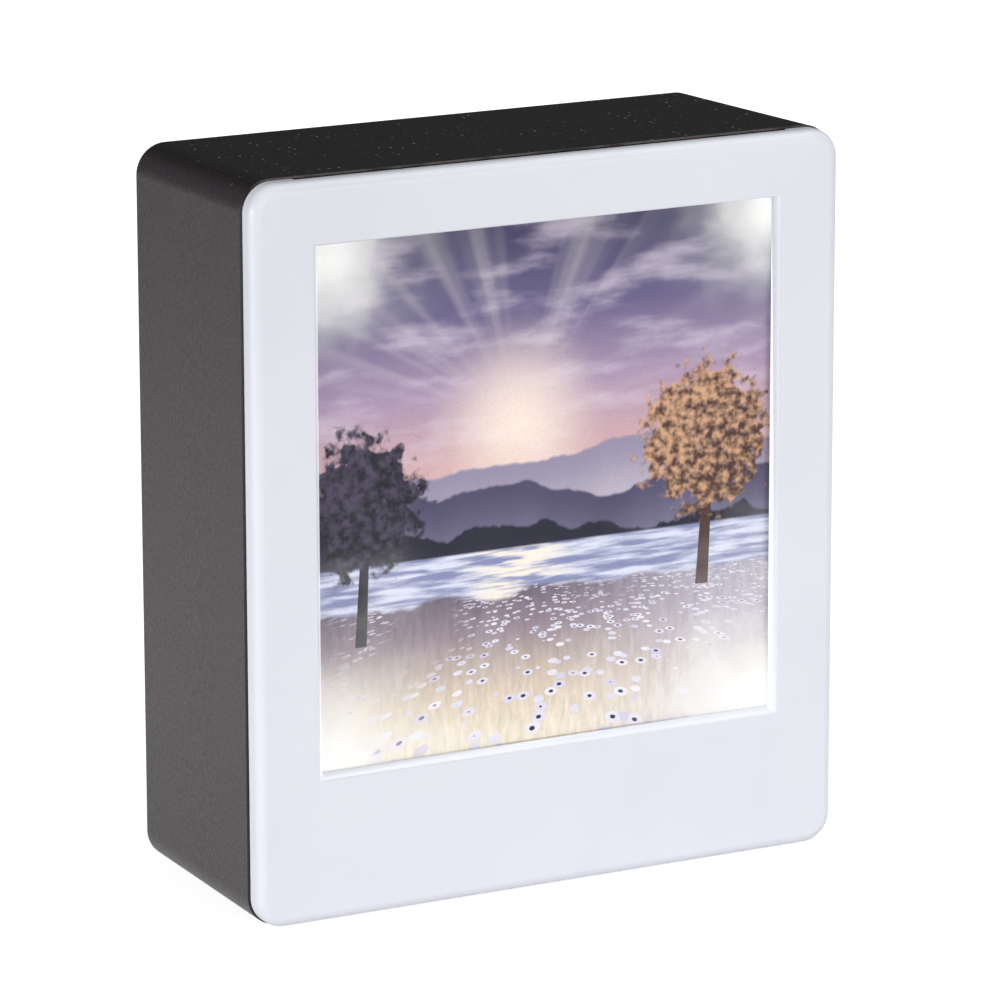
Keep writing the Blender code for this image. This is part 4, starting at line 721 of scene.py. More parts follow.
# %% Sky, hills and lake
def far_view(made):
    """Everything beyond the meadow."""
    sky = made.add("ShaderNodeValToRGB", {"stops": [
        (0.40, (232, 204, 196)), (0.56, (206, 168, 172)), (0.70, (164, 142, 172)),
        (0.84, (98, 90, 130)), (1.0, (58, 54, 92))]}, {"Fac": made.v})
    clouds = made.noise(0.07, 5.0, stretch=(3.2, 1.0, 1.0), place=made.flat).smooth(0.46, 0.72)
    sky = made.mix(clouds * 0.5, sky, (228, 216, 232))
    right = made.u - SUN[0]
    above = made.v - SUN[1]
    away = (right * right + above * above) ** 0.5
    angle = above.arctan2(right)
    rays = made.noise(0.2, shift=8.0, place=made.join(angle)).smooth(0.45, 0.75)
    rays = rays * away.smooth(0.05, 0.3) * (1 - away.smooth(0.3, 0.75))
    sky = made.mix(rays * 0.3, sky, (244, 236, 234))
    sky = made.mix((1 - away.smooth(0.0, 0.22)) * 0.8, sky, (255, 238, 222))
    hills = made.ridge(sky, 0.56, 0.16, 0.30, 1.0, (146, 138, 164), (196, 186, 200))
    hills = made.ridge(hills, 0.50, 0.20, 0.24, 6.0, (72, 68, 100), (122, 118, 148))
    hills = made.ridge(hills, 0.45 - made.u * 0.05, 0.16, 0.13, 12.0, (20, 20, 42), (48, 48, 74))
    ripples = made.noise(0.012, 3.0, stretch=(9.0, 1.0, 1.0), shift=4.0, place=made.flat)
    lake = made.mix(ripples.smooth(0.35, 0.65), (134, 140, 180), (220, 224, 242))
    gleam = (1 - abs(right).smooth(0.02, 0.16)) * ripples.smooth(0.4, 0.6)
    lake = made.mix(gleam * 0.8, lake, (255, 242, 220))
    return made.mix((0.385 - made.v).smooth(0.0, 0.006), hills, lake)


# %% Meadow, flowers and trees
def near_view(made, behind):
    """The meadow in front of the lake, in perspective, and two trees."""
    shore = 0.30 + (made.noise(0.22, 5.0, shift=20.0, place=made.join(made.u)) - 0.5) * 0.1
    blades = made.noise(0.009, 3.0, stretch=(1.0, 5.0, 1.0), shift=2.0, place=made.flat)
    field = made.add("ShaderNodeValToRGB", {"stops": [
        (0.0, (244, 234, 214)), (0.10, (220, 204, 184)), (0.22, (150, 134, 144)),
        (0.34, (82, 74, 98))]}, {"Fac": made.v})
    field = made.mix(made.u.smooth(0.45, 1.0) * 0.65, field, (206, 202, 218))
    field = made.shade(field, 0.68 + blades * 0.6)
    far = 1 / (0.42 - made.v).most(0.02)
    ground = made.join((made.u - 0.5) * far, far * 0.55)
    heads = made.add("ShaderNodeTexVoronoi", None, {"Vector": ground, "Scale": 9.0}, out="Distance")
    chosen = made.split(heads.other("Color"))[0]
    drifts = made.noise(0.3, shift=31.0, place=made.flat).smooth(0.36, 0.5)
    shown = (chosen > 0.2) * drifts
    petals = made.mix(chosen, (246, 244, 250), (212, 206, 230))
    field = made.mix((heads + blades * 0.12 < 0.44) * shown * 0.94, field, petals)
    field = made.mix((heads < 0.15) * shown, field, (44, 44, 76))
    scene = made.mix((shore - made.v).smooth(0.0, 0.012), behind, field)
    scene = made.crown(scene, (0.86, 0.55), (0.17, 0.17), 40.0, (70, 44, 40), (208, 162, 128))
    return made.crown(scene, (0.10, 0.50), (0.15, 0.16), 52.0, (10, 8, 26), (70, 62, 86))


# %% [markdown]
# The print is a translucent film, so the lamps behind make it glow. Part of its brightness is
# its own colour under the room's light and part is light let through, given as emission. The
# grain of the photographic paper breaks up the tones. The back of the print is plain white.

# %% The print
def print_finish():
    made = Picture("print_paper", {"Emission Strength": 0.38, "Specular IOR Level": 0.12})
    picture = near_view(made, far_view(made))
    grain = made.noise(0.28, shift=5.0)
    picture = made.shade(picture, 0.64 + grain * 0.28)
    low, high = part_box("photo_print")
    rear = made.depth > (low.y + high.y) / 2 / MM
    colour = made.mix(rear, picture, (238, 238, 236))
    glow = made.mix(rear, picture, (190, 190, 188))
    made.bump(grain, 0.004)
    return made.give({"Base Color": colour, "Emission Color": glow, "Roughness": 0.42 + grain * 0.1})


paint("photo_print", print_finish())

# %% [markdown]
# The lamps sit behind the four corners of the picture and wash it out there. That light belongs
# to the frame and not to the print, which can slide out, so it is given to the clear window in
# front: the sheet is nearly invisible, and turns to glowing white towards each corner.

# %% Window and opal sheet
CORNER_X = 47.5
GLOWS = ((30.0, 1.0), (128.0, 0.66))  # height of each pair of corners, and its share of the reach


def lamp_glow(made, reach, uneven):
    """1 in each corner of the picture, falling to 0 over this many millimetres, less far at the top."""
    x, _, z = made.split(made.place)
    spread = made.noise(14.0, 3.0, shift=uneven).smooth(0.3, 0.7) * 0.7 + 0.65
    dark = None
    for height, share in GLOWS:
        across = (abs(x) - CORNER_X) / (reach * share)
        up = (z - height) / (reach * share)
        glow = (0 - (across * across + up * up) ** 0.75 * spread).exp()
        dark = (1 - glow) if dark is None else dark * (1 - glow)
    return 1 - dark


def window_finish():
    made = Finish("clear_sheet", {"Base Color": screen(238, 238, 236), "Emission Color": screen(255, 254, 250),
                                  "Emission Strength": 0.2})
    smears = made.noise(14.0, 3.0, stretch=(1.0, 1.0, 2.5))
    return made.give({"Alpha": 0.01 + lamp_glow(made, 14.0, 3.0) * 0.92, "Roughness": 0.05 + smears * 0.08})


def opal_finish():
    made = Finish("opal_sheet", {"Emission Strength": 0.25, "Specular IOR Level": 0.3})
    haze = made.noise(3.0)
    # The opal sheet is painted whiter towards each lamp, a painted pool of light, and glows with the same
    # colour: painted light from the lamps behind it.
    painted_glow_colour = made.mix(lamp_glow(made, 24.0, 6.0), (236, 232, 220), (255, 255, 252))
    colour = made.shade(painted_glow_colour, 0.985 + haze * 0.02)
    return made.give({"Base Color": colour, "Emission Color": colour, "Roughness": 0.34 + haze * 0.1})


paint("clear_window", window_finish())
paint("diffuser_panel", opal_finish())

# %% [markdown]
# ## Plated metal
# The contacts, springs, screws and the switch's can are steel with a bright plate. A real plate
# is never a mirror: it was rolled or turned first, so fine lines run along it, and handling
# leaves cloudy, duller patches. Stretched noise gives the lines, and slow noise the patches.

# %% Plated steel
def plated_steel():
    made = Finish("plated_steel", {"Metallic": 1.0})
    lines = made.noise(0.12, stretch=(1.0, 1.0, 9.0))
    patches = made.noise(3.5, 3.0, shift=7.0)
    colour = made.mix(patches.smooth(0.35, 0.7), (202, 203, 205), (176, 175, 172))
    colour = made.shade(colour, 0.95 + lines * 0.1)
    made.bump(lines, 0.006)
    return made.give({"Base Color": colour, "Roughness": 0.2 + patches * 0.18 + lines * 0.08})


steel_finish = plated_steel()
print("plated steel:", len(steel_finish.node_tree.nodes), "nodes")

# %% [markdown]
# ## Coils and threads
# A contact spring and a screw's thread follow the same rule: a point turns about a line while it
# moves along it, and its radius may change on the way. One tree makes both. The first and last
# stretch of the turn can stay flat, as the ends of a compression spring do.

# %% The tree that winds a coil
def sweep(nodes, path, radius, sides):
    """A round section carried along a path, closed at its ends."""
    ring = nodes.add("GeometryNodeCurvePrimitiveCircle", None, {"Resolution": sides, "Radius": radius})
    return nodes.add("GeometryNodeCurveToMesh", None,
                     {"Curve": path, "Profile Curve": ring, "Fill Caps": True})


def coil_tree():
    tree, nodes, given = new_tree("wound_coil", {
        "Start radius": float, "End radius": float, "Length": float, "Turns": float, "Flat share": float,
        "Steps": int, "Wire radius": float, "Wire sides": int, "Finish": bpy.types.Material})
    line = nodes.add("GeometryNodeCurvePrimitiveLine")
    steps = nodes.add("GeometryNodeResampleCurve", None, {"Curve": line, "Count": given["Steps"]})
    share = nodes.add("GeometryNodeSplineParameter", out="Factor")
    rise = nodes.add("ShaderNodeMapRange", None, {
        "Value": share, "From Min": given["Flat share"], "From Max": 1 - given["Flat share"]})
    angle = share * given["Turns"] * (2.0 * math.pi)
    radius = given["Start radius"] + (given["End radius"] - given["Start radius"]) * share
    place = nodes.join(rise * given["Length"], radius * angle.cos(), radius * angle.sin())
    path = nodes.add("GeometryNodeSetPosition", None, {"Geometry": steps, "Position": place})
    end_tree(nodes, sweep(nodes, path, given["Wire radius"], given["Wire sides"]), given["Finish"])
    return tree


def wind(name, radii, length, turns, flat, steps, wire_radius, wire_sides):
    """A steel coil along X from the origin."""
    return grow(name, polyline("nothing", [(0.0, 0.0, 0.0)]), wound_coil, {
        "Start radius": radii[0], "End radius": radii[1], "Length": length, "Turns": turns, "Flat share": flat,
        "Steps": steps, "Wire radius": wire_radius, "Wire sides": wire_sides, "Finish": steel_finish})


wound_coil = coil_tree()
print("coil tree:", len(wound_coil.nodes), "nodes")

# %% [markdown]
# Pieces that repeat are made once and set out by a second tree. Its points say where each copy
# goes, and an attribute on the points says how it is turned. The copies of one row become one
# plain mesh, since they all ride on the same body.

# %% The tree that sets out copies
def repeat_tree():
    tree, nodes, given = new_tree("set_out", {"Piece": bpy.types.Object, "Finish": bpy.types.Material})
    piece = nodes.add("GeometryNodeObjectInfo", None, {"Object": given["Piece"]}, out="Geometry")
    turn = nodes.add("GeometryNodeInputNamedAttribute", {"data_type": "FLOAT_VECTOR"}, {"Name": "turn"})
    copies = nodes.add("GeometryNodeInstanceOnPoints", None,
                       {"Points": given["Geometry"], "Instance": piece, "Rotation": turn})
    end_tree(nodes, copies, given["Finish"])
    return tree


set_out = repeat_tree()


def repeat(name, piece, places, turns, finish):
    """Copies of a piece at places, turned about Z by angles; the piece itself is used up."""
    points = polyline(name, places)
    turn = points.attributes.new("turn", "FLOAT_VECTOR", "POINT")
    for item, angle in zip(turn.data, turns):
        item.vector = (0.0, 0.0, angle)
    row = grow(name, points, set_out, {"Piece": piece, "Finish": finish})
    bpy.data.objects.remove(piece, do_unlink=True)
    return row


def middle_of(node):
    low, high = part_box(node)
    return (low + high) / 2


print("copies tree:", len(set_out.nodes), "nodes")

# %% [markdown]
# ### Contact springs
# Each cell's flat end presses on a coil that narrows from 9.2 to 5.2 mm across. The coil stands
# on its contact, on the outer side of the bay, and points inwards, so the copies on the right
# are turned round.

# %% Springs
SPRINGS = ["contact_spring_1", "contact_spring_2", "contact_spring_3"]
SPRING_WIRE = 0.35 * MM
SPRING_RADII = (4.6 * MM, 2.6 * MM)
SPRING_TURNS = 4.25
SPRING_FLAT = 0.12
spring_low, spring_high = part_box(SPRINGS[0])
spring_length = spring_high.x - spring_low.x
coil = wind("coil", SPRING_RADII, spring_length - 2 * SPRING_WIRE, SPRING_TURNS, SPRING_FLAT, 160,
            SPRING_WIRE, 12)
places = []
turns = []
for node in SPRINGS:
    centre = middle_of(node)
    side = 1 if centre.x > 0 else -1
    places.append((centre.x + side * (spring_length / 2 - SPRING_WIRE), centre.y, centre.z))
    turns.append(math.pi if side > 0 else 0.0)
springs = repeat("contact_springs", coil, places, turns, steel_finish)
fit(springs, "frame", "plated_steel", steel_finish, *SPRINGS)

# %% [markdown]
# ### Screws
# Ten screws of three sizes hold the frame together. A blank is turned from its profile, a cross
# is cut in its head and the coil tree winds a thread round its shank. Case and tray screws point
# to the front, the switch's two point to the back.

# %% One screw
def turned(name, profile, sides=32):
    """A profile of (distance along X, radius) spun about the X axis; its ends are on the axis."""
    points = [(profile[0][0], 0.0, 0.0)]
    for along, radius in profile[1:-1]:
        for k in range(sides):
            angle = 2.0 * math.pi * k / sides
            points.append((along, radius * math.cos(angle), radius * math.sin(angle)))
    points.append((profile[-1][0], 0.0, 0.0))
    faces = []
    for k in range(sides):
        n = (k + 1) % sides
        faces.append((0, 1 + k, 1 + n))
        for level in range(len(profile) - 3):
            base = 1 + level * sides
            faces.append((base + k, base + n, base + sides + n, base + sides + k))
        base = len(points) - 1 - sides
        faces.append((base + k, base + n, len(points) - 1))
    return solid(name, points, faces)


CORE_SHARE = 0.78
CROSS_SHARE = 0.62
CROSS_FLOOR = 0.4
CROSS_SLIT = 0.3 * MM
HEAD_EDGE = 0.1 * MM
NECK = 0.5 * MM
TURN_STEPS = 20


def screw(name, head_radius, head_height, shank_radius, length):
    """A screw along X: its head rises to positive X from the seat at 0."""
    core = shank_radius * CORE_SHARE
    profile = [(head_height, 0.0)]
    profile += [(head_height * (0.45 + 0.55 * cos), head_radius * sin) for sin, cos in quarter(8)[1:]]
    profile += [(HEAD_EDGE, head_radius), (0.0, head_radius - HEAD_EDGE), (0.0, shank_radius),
                (-NECK, core), (core - length, core), (-length, 0.3 * core), (-length, 0.0)]
    blank = turned(name, profile)
    span = (CROSS_FLOOR * head_height, 2.0 * head_height)
    long, narrow = [(-half, half) for half in (CROSS_SHARE * head_radius, CROSS_SLIT)]
    combine(blank, "DIFFERENCE", block("cross_1", span, long, narrow), block("cross_2", span, narrow, long))
    run = length - 2.4 * core
    turns = run / (0.45 * shank_radius + 0.3 * MM)
    thread = wind("thread", (core, core), run, turns, 0.0, round(turns * TURN_STEPS), shank_radius - core, 4)
    thread.data.transform(Matrix.Translation((0.4 * MM - run - 0.9 * core, 0.0, 0.0)))
    return combine(blank, "UNION", thread)


# %% Rows of screws
SCREW_SIZES = {"case_screw": (2.8 * MM, 2.0 * MM, 1.3 * MM, 10.4 * MM),
               "tray_screw": (2.3 * MM, 1.5 * MM, 0.95 * MM, 4.4 * MM),
               "switch_screw": (1.8 * MM, 1.2 * MM, 0.8 * MM, 2.7 * MM)}
for kind, sizes in SCREW_SIZES.items():
    nodes = sorted(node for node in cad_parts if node.startswith(kind))
    way = -1 if kind == "switch_screw" else 1
    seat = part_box(nodes[0])[1].y - sizes[1] if way > 0 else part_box(nodes[0])[0].y + sizes[1]
    places = [(middle_of(node).x, seat, middle_of(node).z) for node in nodes]
    row = repeat(kind + "s", screw(kind, *sizes), places, [way * math.pi / 2] * len(nodes), steel_finish)
    fit(row, "frame", "plated_steel", steel_finish, *nodes)

# %% [markdown]
# ## Contacts and switch body
# The stamped contacts and the switch's can have the right shape already. Merged copies with a
# hair of bevel take the same plated finish.

# %% Stamped metal
STAMPED_EDGE = 0.08 * MM
for node in ("contact_negative", "contact_bridge_1", "contact_bridge_2", "contact_positive"):
    dress(node, node + "_plate", "frame", "plated_steel", steel_finish, STAMPED_EDGE)
dress("switch_body", "switch_can", "frame", "plated_steel", steel_finish, STAMPED_EDGE)

# %% [markdown]
# ## Cells
# A cell is a steel can in a printed sleeve. It is a body of revolution, so it is turned from a
# profile: a sunk base, a rolled edge, the sleeve, a shoulder and the raised positive end. Its
# sleeve is plain apart from a silver band at the positive end. The band has to follow each
# cell, and neighbours face opposite ways, so the mesh carries the distance from its base as an
# attribute, which the finish reads.

# %% Cell finish
BAND = (36.0, 49.0)
LINE = (34.6, 35.2)
CAP_RADIUS = 6.1
BASE_END = 0.35


def cell_finish():
    made = Finish("cell_sleeve", {"IOR": 1.5})
    along, out = made.carried("along"), made.carried("out")
    scuffs = made.noise(0.9, 4.0, stretch=(6.0, 1.0, 1.0)).smooth(0.6, 0.75)
    grain = made.noise(0.3, shift=9.0)
    band, line = [(along > start) * (along < end) for start, end in (BAND, LINE)]
    sleeve = made.mix(band.most(line), (58, 62, 72), (186, 190, 196))
    sleeve = made.shade(sleeve, 0.93 + grain * 0.1)
    sleeve = made.mix(scuffs * 0.18, sleeve, (150, 150, 150))
    metal = (out < CAP_RADIUS).most(along < BASE_END)
    colour = made.mix(metal, sleeve, (196, 196, 194))
    made.bump(grain, 0.01)
    return made.give({"Base Color": colour, "Metallic": metal.most(band * 0.75),
                      "Roughness": 0.26 + grain * 0.12 + scuffs * 0.15})


# The profile in mm, as (distance along X, radius). The base counts from the base and from the
# axis, the roll from the sleeve's radius, the shoulder from the sleeve's end and radius, the cap
# from its end and the axis, the neck from its end and the nub's radius, the tip from the tip.
CELL_BASE = ((0.35, 0.0), (0.35, 5.2), (0.0, 5.7), (0.0, 6.5), (0.12, 6.85))
CELL_ROLL = ((0.5, -0.05), (0.8, 0.0))
CELL_SHOULDER = ((-0.8, 0.0), (-0.35, -0.12), (-0.1, -0.5))
CELL_CAP = ((-0.1, 6.2), (-0.4, 6.0))
CELL_NECK = ((-0.4, 0.5), (-0.1, 0.1))
CELL_TIP = ((-0.25, 0.0), (-0.07, -0.1), (0.0, -0.35))


def cell(name, sleeve_radius, length, nub_radius, nub_height):
    """A cell along X, its base at 0 and its positive end at length plus nub."""
    tip = length + nub_height
    parts = ((0.0, 0.0, CELL_BASE), (0.0, sleeve_radius, CELL_ROLL), (length, sleeve_radius, CELL_SHOULDER),
             (length, 0.0, CELL_CAP), (length, nub_radius, CELL_NECK), (tip, nub_radius, CELL_TIP))
    profile = [(along + a * MM, radius + r * MM) for along, radius, part in parts for a, r in part]
    profile.append((tip, 0.0))
    made = turned(name, profile, 64)
    along = made.data.attributes.new("along", "FLOAT", "POINT")
    out = made.data.attributes.new("out", "FLOAT", "POINT")
    for vertex, a, b in zip(made.data.vertices, along.data, out.data):
        a.value = vertex.co.x / MM
        b.value = math.hypot(vertex.co.y, vertex.co.z) / MM
    return made


# %% The three cells
NUB_RADIUS = 2.75 * MM
NUB_HEIGHT = 1.0 * MM
cell_look = cell_finish()
for number in (1, 2, 3):
    node = f"aa_cell_{number}"
    low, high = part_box(node)
    made = cell(f"cell_{number}", (high.z - low.z) / 2, high.x - low.x - NUB_HEIGHT, NUB_RADIUS, NUB_HEIGHT)
    faces_left = number == 2
    start = high.x if faces_left else low.x
    turn_round = Matrix.Rotation(math.pi if faces_left else 0.0, 4, "Z")
    centre = middle_of(node)
    made.data.transform(Matrix.Translation((start, centre.y, centre.z)) @ turn_round)
    fit(made, "frame", "cell_sleeve", cell_look, node)

# %% [markdown]
# ## The light unit
# Behind the opal sheet a shallow white tray holds two narrow boards, each with two lamps and a
# resistor. The tray's flared walls throw the light forward. Its plastic is plain matt white with
# faint round marks where the mould's pins pushed it out.

# %% Tray
PIN_SPACING = 24.0


def tray_finish():
    made = Finish("tray_white", {"IOR": 1.5, "Specular IOR Level": 0.3})
    fine = made.noise(0.5)
    clouds = made.noise(12.0, shift=2.0)
    x, _, z = made.split(made.place)
    pins = made.add("ShaderNodeTexVoronoi", {"voronoi_dimensions": "2D"},
                    {"Vector": made.join(x, z), "Scale": 1.0 / PIN_SPACING, "Randomness": 0.0}, out="Distance")
    ring = pins.smooth(0.075, 0.085) * (1 - pins.smooth(0.09, 0.1))
    colour = made.mix(clouds, (238, 238, 235), (243, 243, 241))
    colour = made.shade(colour, 0.985 + fine * 0.02 - ring * 0.05)
    made.bump(fine * 0.3 - ring, 0.03)
    return made.give({"Base Color": colour, "Roughness": 0.46 + fine * 0.1})


dress("light_tray", "tray", "frame", "tray_white", tray_finish())

# %% [markdown]
# The boards are white solder mask over copper. Two tracks run the length of each board under the
# mask and raise it a little, and bare tinned pads wait where the wires are soldered.

# %% Boards
BOARD_MIDDLE = middle_of("led_board_right")
TRACK_X = 1.7
TRACK_END = 44.0
PAD_SPACING = 4.0
PAD_RADIUS = 0.85


def board_finish():
    made = Finish("board_white", {"IOR": 1.5})
    x, _, z = made.split(made.place)
    across = abs(x) - BOARD_MIDDLE.x / MM
    up = z - BOARD_MIDDLE.z / MM
    off_track = abs(abs(across) - TRACK_X).smooth(0.45, 0.6)
    tracks = (1 - off_track) * (1 - abs(up).smooth(TRACK_END, TRACK_END + 0.6))
    row = up.wrap(PAD_SPACING / 2, -PAD_SPACING / 2)
    off_pad = ((across * across + row * row) ** 0.5).smooth(PAD_RADIUS, PAD_RADIUS + 0.1)
    pads = (1 - off_pad) * (abs(up) < 1.5 * PAD_SPACING)
    grain = made.noise(0.4)
    mask = made.mix(tracks, (232, 234, 230), (216, 222, 212))
    mask = made.shade(mask, 0.98 + grain * 0.04)
    colour = made.mix(pads, mask, (204, 204, 202))
    made.bump(tracks * 0.6 + grain * 0.1 + pads * 0.3, 0.05)
    return made.give({"Base Color": colour, "Metallic": pads, "Roughness": 0.42 - pads * 0.16 + grain * 0.06})


board_look = board_finish()
for node in ("led_board_left", "led_board_right"):
    paint(node, board_look)
print("board middle in mm:", [round(v / MM, 1) for v in BOARD_MIDDLE])

# %% [markdown]
# Each lamp is a small white package with a low lens of silicone. Four of them are copies of one
# piece. The piece carries an attribute that is 1 on the lens, where the phosphor glows a warm
# yellow white, and 0 on the package.

# %% Lamps
LAMPS = ["led_bottom_left", "led_bottom_right", "led_top_left", "led_top_right"]
LAMP_DOME = 0.6 * MM
LAMP_TRIM = 0.15 * MM
LAMP_CORNER = 0.4 * MM
LENS_RADIUS = 1.95 * MM
LENS_REACH = 2.0 * MM
HAIR = 0.001 * MM


def lamp_finish():
    made = Finish("lamp_lens", {"IOR": 1.45, "Emission Strength": 1.0})
    lens = made.carried("lens")
    grain = made.noise(0.2)
    colour = made.mix(lens, (236, 236, 232), (250, 240, 190))
    colour = made.shade(colour, 0.96 + grain * 0.06)
    glow = made.mix(lens, (70, 70, 68), (255, 250, 232))
    return made.give({"Base Color": colour, "Emission Color": glow,
                      "Roughness": 0.42 - lens * 0.26 + grain * 0.05})


def lamp_piece():
    """A lamp that faces X: its package and the low dome on it."""
    low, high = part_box(LAMPS[0])
    half = (high.x - low.x) / 2
    depth = high.y - low.y
    package = depth - LAMP_DOME
    rings = []
    for level, inset in ((0.0, 0.0), (package - LAMP_TRIM, 0.0), (package, LAMP_TRIM)):
        square = rounded(half - inset, inset - half, half - inset, LAMP_CORNER, 0.0, 3)
        rings.append([(level, a, b) for a, _, b in square])
    made = loft("lamp", rings)
    profile = [(package - LAMP_TRIM, 0.0), (package - LAMP_TRIM, LENS_RADIUS)]
    profile += [(package + LAMP_DOME * sin, LENS_RADIUS * cos) for sin, cos in quarter(9)[:-1]]
    combine(made, "UNION", turned("dome", profile + [(depth, 0.0)]))
    lens = made.data.attributes.new("lens", "FLOAT", "POINT")
    for vertex, item in zip(made.data.vertices, lens.data):
        off_axis = math.hypot(vertex.co.y, vertex.co.z)
        item.value = float(vertex.co.x > package - HAIR and off_axis < LENS_REACH)
    return made


lamp_places = [(middle_of(node).x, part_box(node)[1].y, middle_of(node).z) for node in LAMPS]
lamp_look = lamp_finish()
lamps = repeat("lamps", lamp_piece(), lamp_places, [-math.pi / 2] * 4, lamp_look)
fit(lamps, "frame", "lamp_lens", lamp_look, *LAMPS)

# %% [markdown]
# The two resistors are ceramic chips with a black glaze and tinned ends. The finish finds the
# ends by their height, measured from the middle of the chip.

# %% Resistors
def chip_finish():
    made = Finish("chip_black", {"IOR": 1.6})
    _, _, z = made.split(made.place)
    ends = abs(z - middle_of("resistor_left").z / MM).smooth(1.02, 1.06)
    grain = made.noise(0.15)
    colour = made.mix(ends, (34, 34, 36), (206, 206, 204))
    colour = made.shade(colour, 0.9 + grain * 0.2)
    made.bump(grain, 0.01)
    return made.give({"Base Color": colour, "Metallic": ends, "Roughness": 0.32 + grain * 0.1})


chip_look = chip_finish()
for node in ("resistor_left", "resistor_right"):
    dress(node, node + "_chip", "frame", "chip_black", chip_look)

# %% [markdown]
# ## Wires
# Five stranded wires in soft sleeves link the contacts, the switch and the boards, all inside
# the case. Each follows a smooth curve through a few points, the same as its solid's. A tree
# sweeps a circle along the curve; the sleeve ends just short of the joint in a bead of solder.

# %% Smooth routes
STEP = 0.9 * MM


def smooth_route(route):
    """Points a step apart along a smooth curve through the route's own points."""
    first = tuple(2 * a - b for a, b in zip(route[0], route[1]))
    last = tuple(2 * a - b for a, b in zip(route[-1], route[-2]))
    full = [first, *route, last]
    points = [route[0]]
    for before, start, end, after in zip(full, full[1:], full[2:], full[3:]):
        leave = [(c - a) / math.dist(before, end) for a, c in zip(before, end)]
        arrive = [(d - b) / math.dist(start, after) for b, d in zip(start, after)]
        run = math.dist(start, end)
        count = max(1, round(run / STEP))
        for step in range(1, count + 1):
            t = step / count
            points.append(tuple(
                b * (2 * t ** 3 - 3 * t ** 2 + 1) + c * (3 * t ** 2 - 2 * t ** 3)
                + run * (p * (t ** 3 - 2 * t ** 2 + t) + q * (t ** 3 - t ** 2))
                for b, c, p, q in zip(start, end, leave, arrive)))
    return points


def beside(point, x, y, z):
    """A point this many millimetres from another."""
    return (point[0] + x * MM, point[1] + y * MM, point[2] + z * MM)


def between(start, end, share, y, z):
    """A point part of the way between two, moved back and up by millimetres."""
    return beside([a + share * (b - a) for a, b in zip(start, end)], 0.0, y, z)


# %% Ends of the wires
WIRE_RADIUS = 0.6 * MM
WIRE_GAP = 0.3 * MM
TAB_EDGE = 0.25 * MM


def tab_end(node, at_right):
    """Where a wire ends at the right or left edge of a contact's tab."""
    low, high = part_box(node)
    x = high.x - TAB_EDGE if at_right else low.x + TAB_EDGE
    return x, low.y - WIRE_GAP, (low.z + high.z) / 2


board_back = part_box("led_board_left")[1].y + WIRE_GAP
left_pads = [(-BOARD_MIDDLE.x, board_back, BOARD_MIDDLE.z + row * PAD_SPACING * MM) for row in (-1, 0, 1)]
right_pads = [(BOARD_MIDDLE.x, board_back, z) for _, _, z in left_pads]
positive = tab_end("contact_positive", True)
negative = tab_end("contact_negative", False)
switch = middle_of("switch_body")
common = (switch.x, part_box("switch_body")[0].y - WIRE_GAP, switch.z)
feed = beside(common, 4.0, 0.0, 0.0)
print("wire ends in mm:", [[round(v / MM, 1) for v in p] for p in (positive, negative, common, feed)])

# %% Routes
# For each wire its first end, then places in mm beside that end, places between the ends as
# (share of the way, back, up), places beside the last end, and the last end.
ROUTES = {
    "wire_cell_to_switch": (
        positive, [(0.0, -2.2, 0.3), (-0.2, -4.2, 2.2), (-0.8, -4.6, 6.4), (-1.8, -2.2, 14.0)], [],
        [(-2.4, -7.2, -21.0), (-1.4, -6.8, -10.0), (-0.5, -5.4, -4.6), (0.0, -2.4, -0.6)], common),
    "wire_switch_to_board": (
        feed, [(0.0, -2.4, -0.4), (0.9, -5.6, -3.4), (4.5, -10.4, -10.0)], [],
        [(2.2, 8.2, 10.0), (1.2, 5.6, 4.0), (0.2, 2.6, 0.6)], right_pads[0]),
    "wire_cell_to_board": (
        negative, [(0.0, -2.2, 0.3), (-0.7, -4.4, 2.2), (-2.8, -5.8, 6.8), (-7.4, -6.2, 16.0)], [],
        [(0.6, 7.4, -24.0), (-0.6, 7.4, -12.0), (-0.4, 5.4, -4.2), (0.0, 2.6, -0.6)], left_pads[0]),
    "wire_link_positive": (
        right_pads[1], [(-0.4, 2.4, 0.0), (-3.4, 5.2, 0.5), (-9.0, 6.8, 1.6)],
        [(0.26, 7.4, 2.1), (0.5, 8.0, 3.6), (0.74, 7.4, 3.2)],
        [(9.0, 6.8, 1.3), (3.4, 5.2, 0.5), (0.4, 2.4, 0.0)], left_pads[2]),
    "wire_link_negative": (
        left_pads[1], [(0.4, 2.6, 0.0), (3.2, 6.0, -0.6), (9.0, 8.8, -1.6)],
        [(0.26, 10.8, -3.6), (0.5, 11.4, -3.6), (0.74, 10.8, -1.8)],
        [(-9.0, 9.0, -1.4), (-3.2, 6.2, -0.2), (-0.4, 2.6, 0.0)], right_pads[2]),
}


def whole_route(start, leaving, crossing, arriving, end):
    """All the points of a route."""
    return [start, *(beside(start, *place) for place in leaving),
            *(between(start, end, *place) for place in crossing),
            *(beside(end, *place) for place in arriving), end]


# %% The tree that sweeps a wire, and the sleeves
def wire_tree():
    tree, nodes, given = new_tree("swept_wire", {"Radius": float, "Sides": int, "Finish": bpy.types.Material})
    path = nodes.add("GeometryNodeMeshToCurve", None, {"Mesh": given["Geometry"]})
    share = nodes.add("GeometryNodeSplineParameter", out="Length")
    total = nodes.add("GeometryNodeSplineLength")
    near_end = share.least(total - share)
    bead = 1 - near_end.smooth(0.2 * MM, 1.0 * MM) * 0.35
    thick = nodes.add("GeometryNodeSetCurveRadius", None, {"Curve": path, "Radius": bead})
    end_tree(nodes, sweep(nodes, thick, given["Radius"], given["Sides"]), given["Finish"])
    return tree


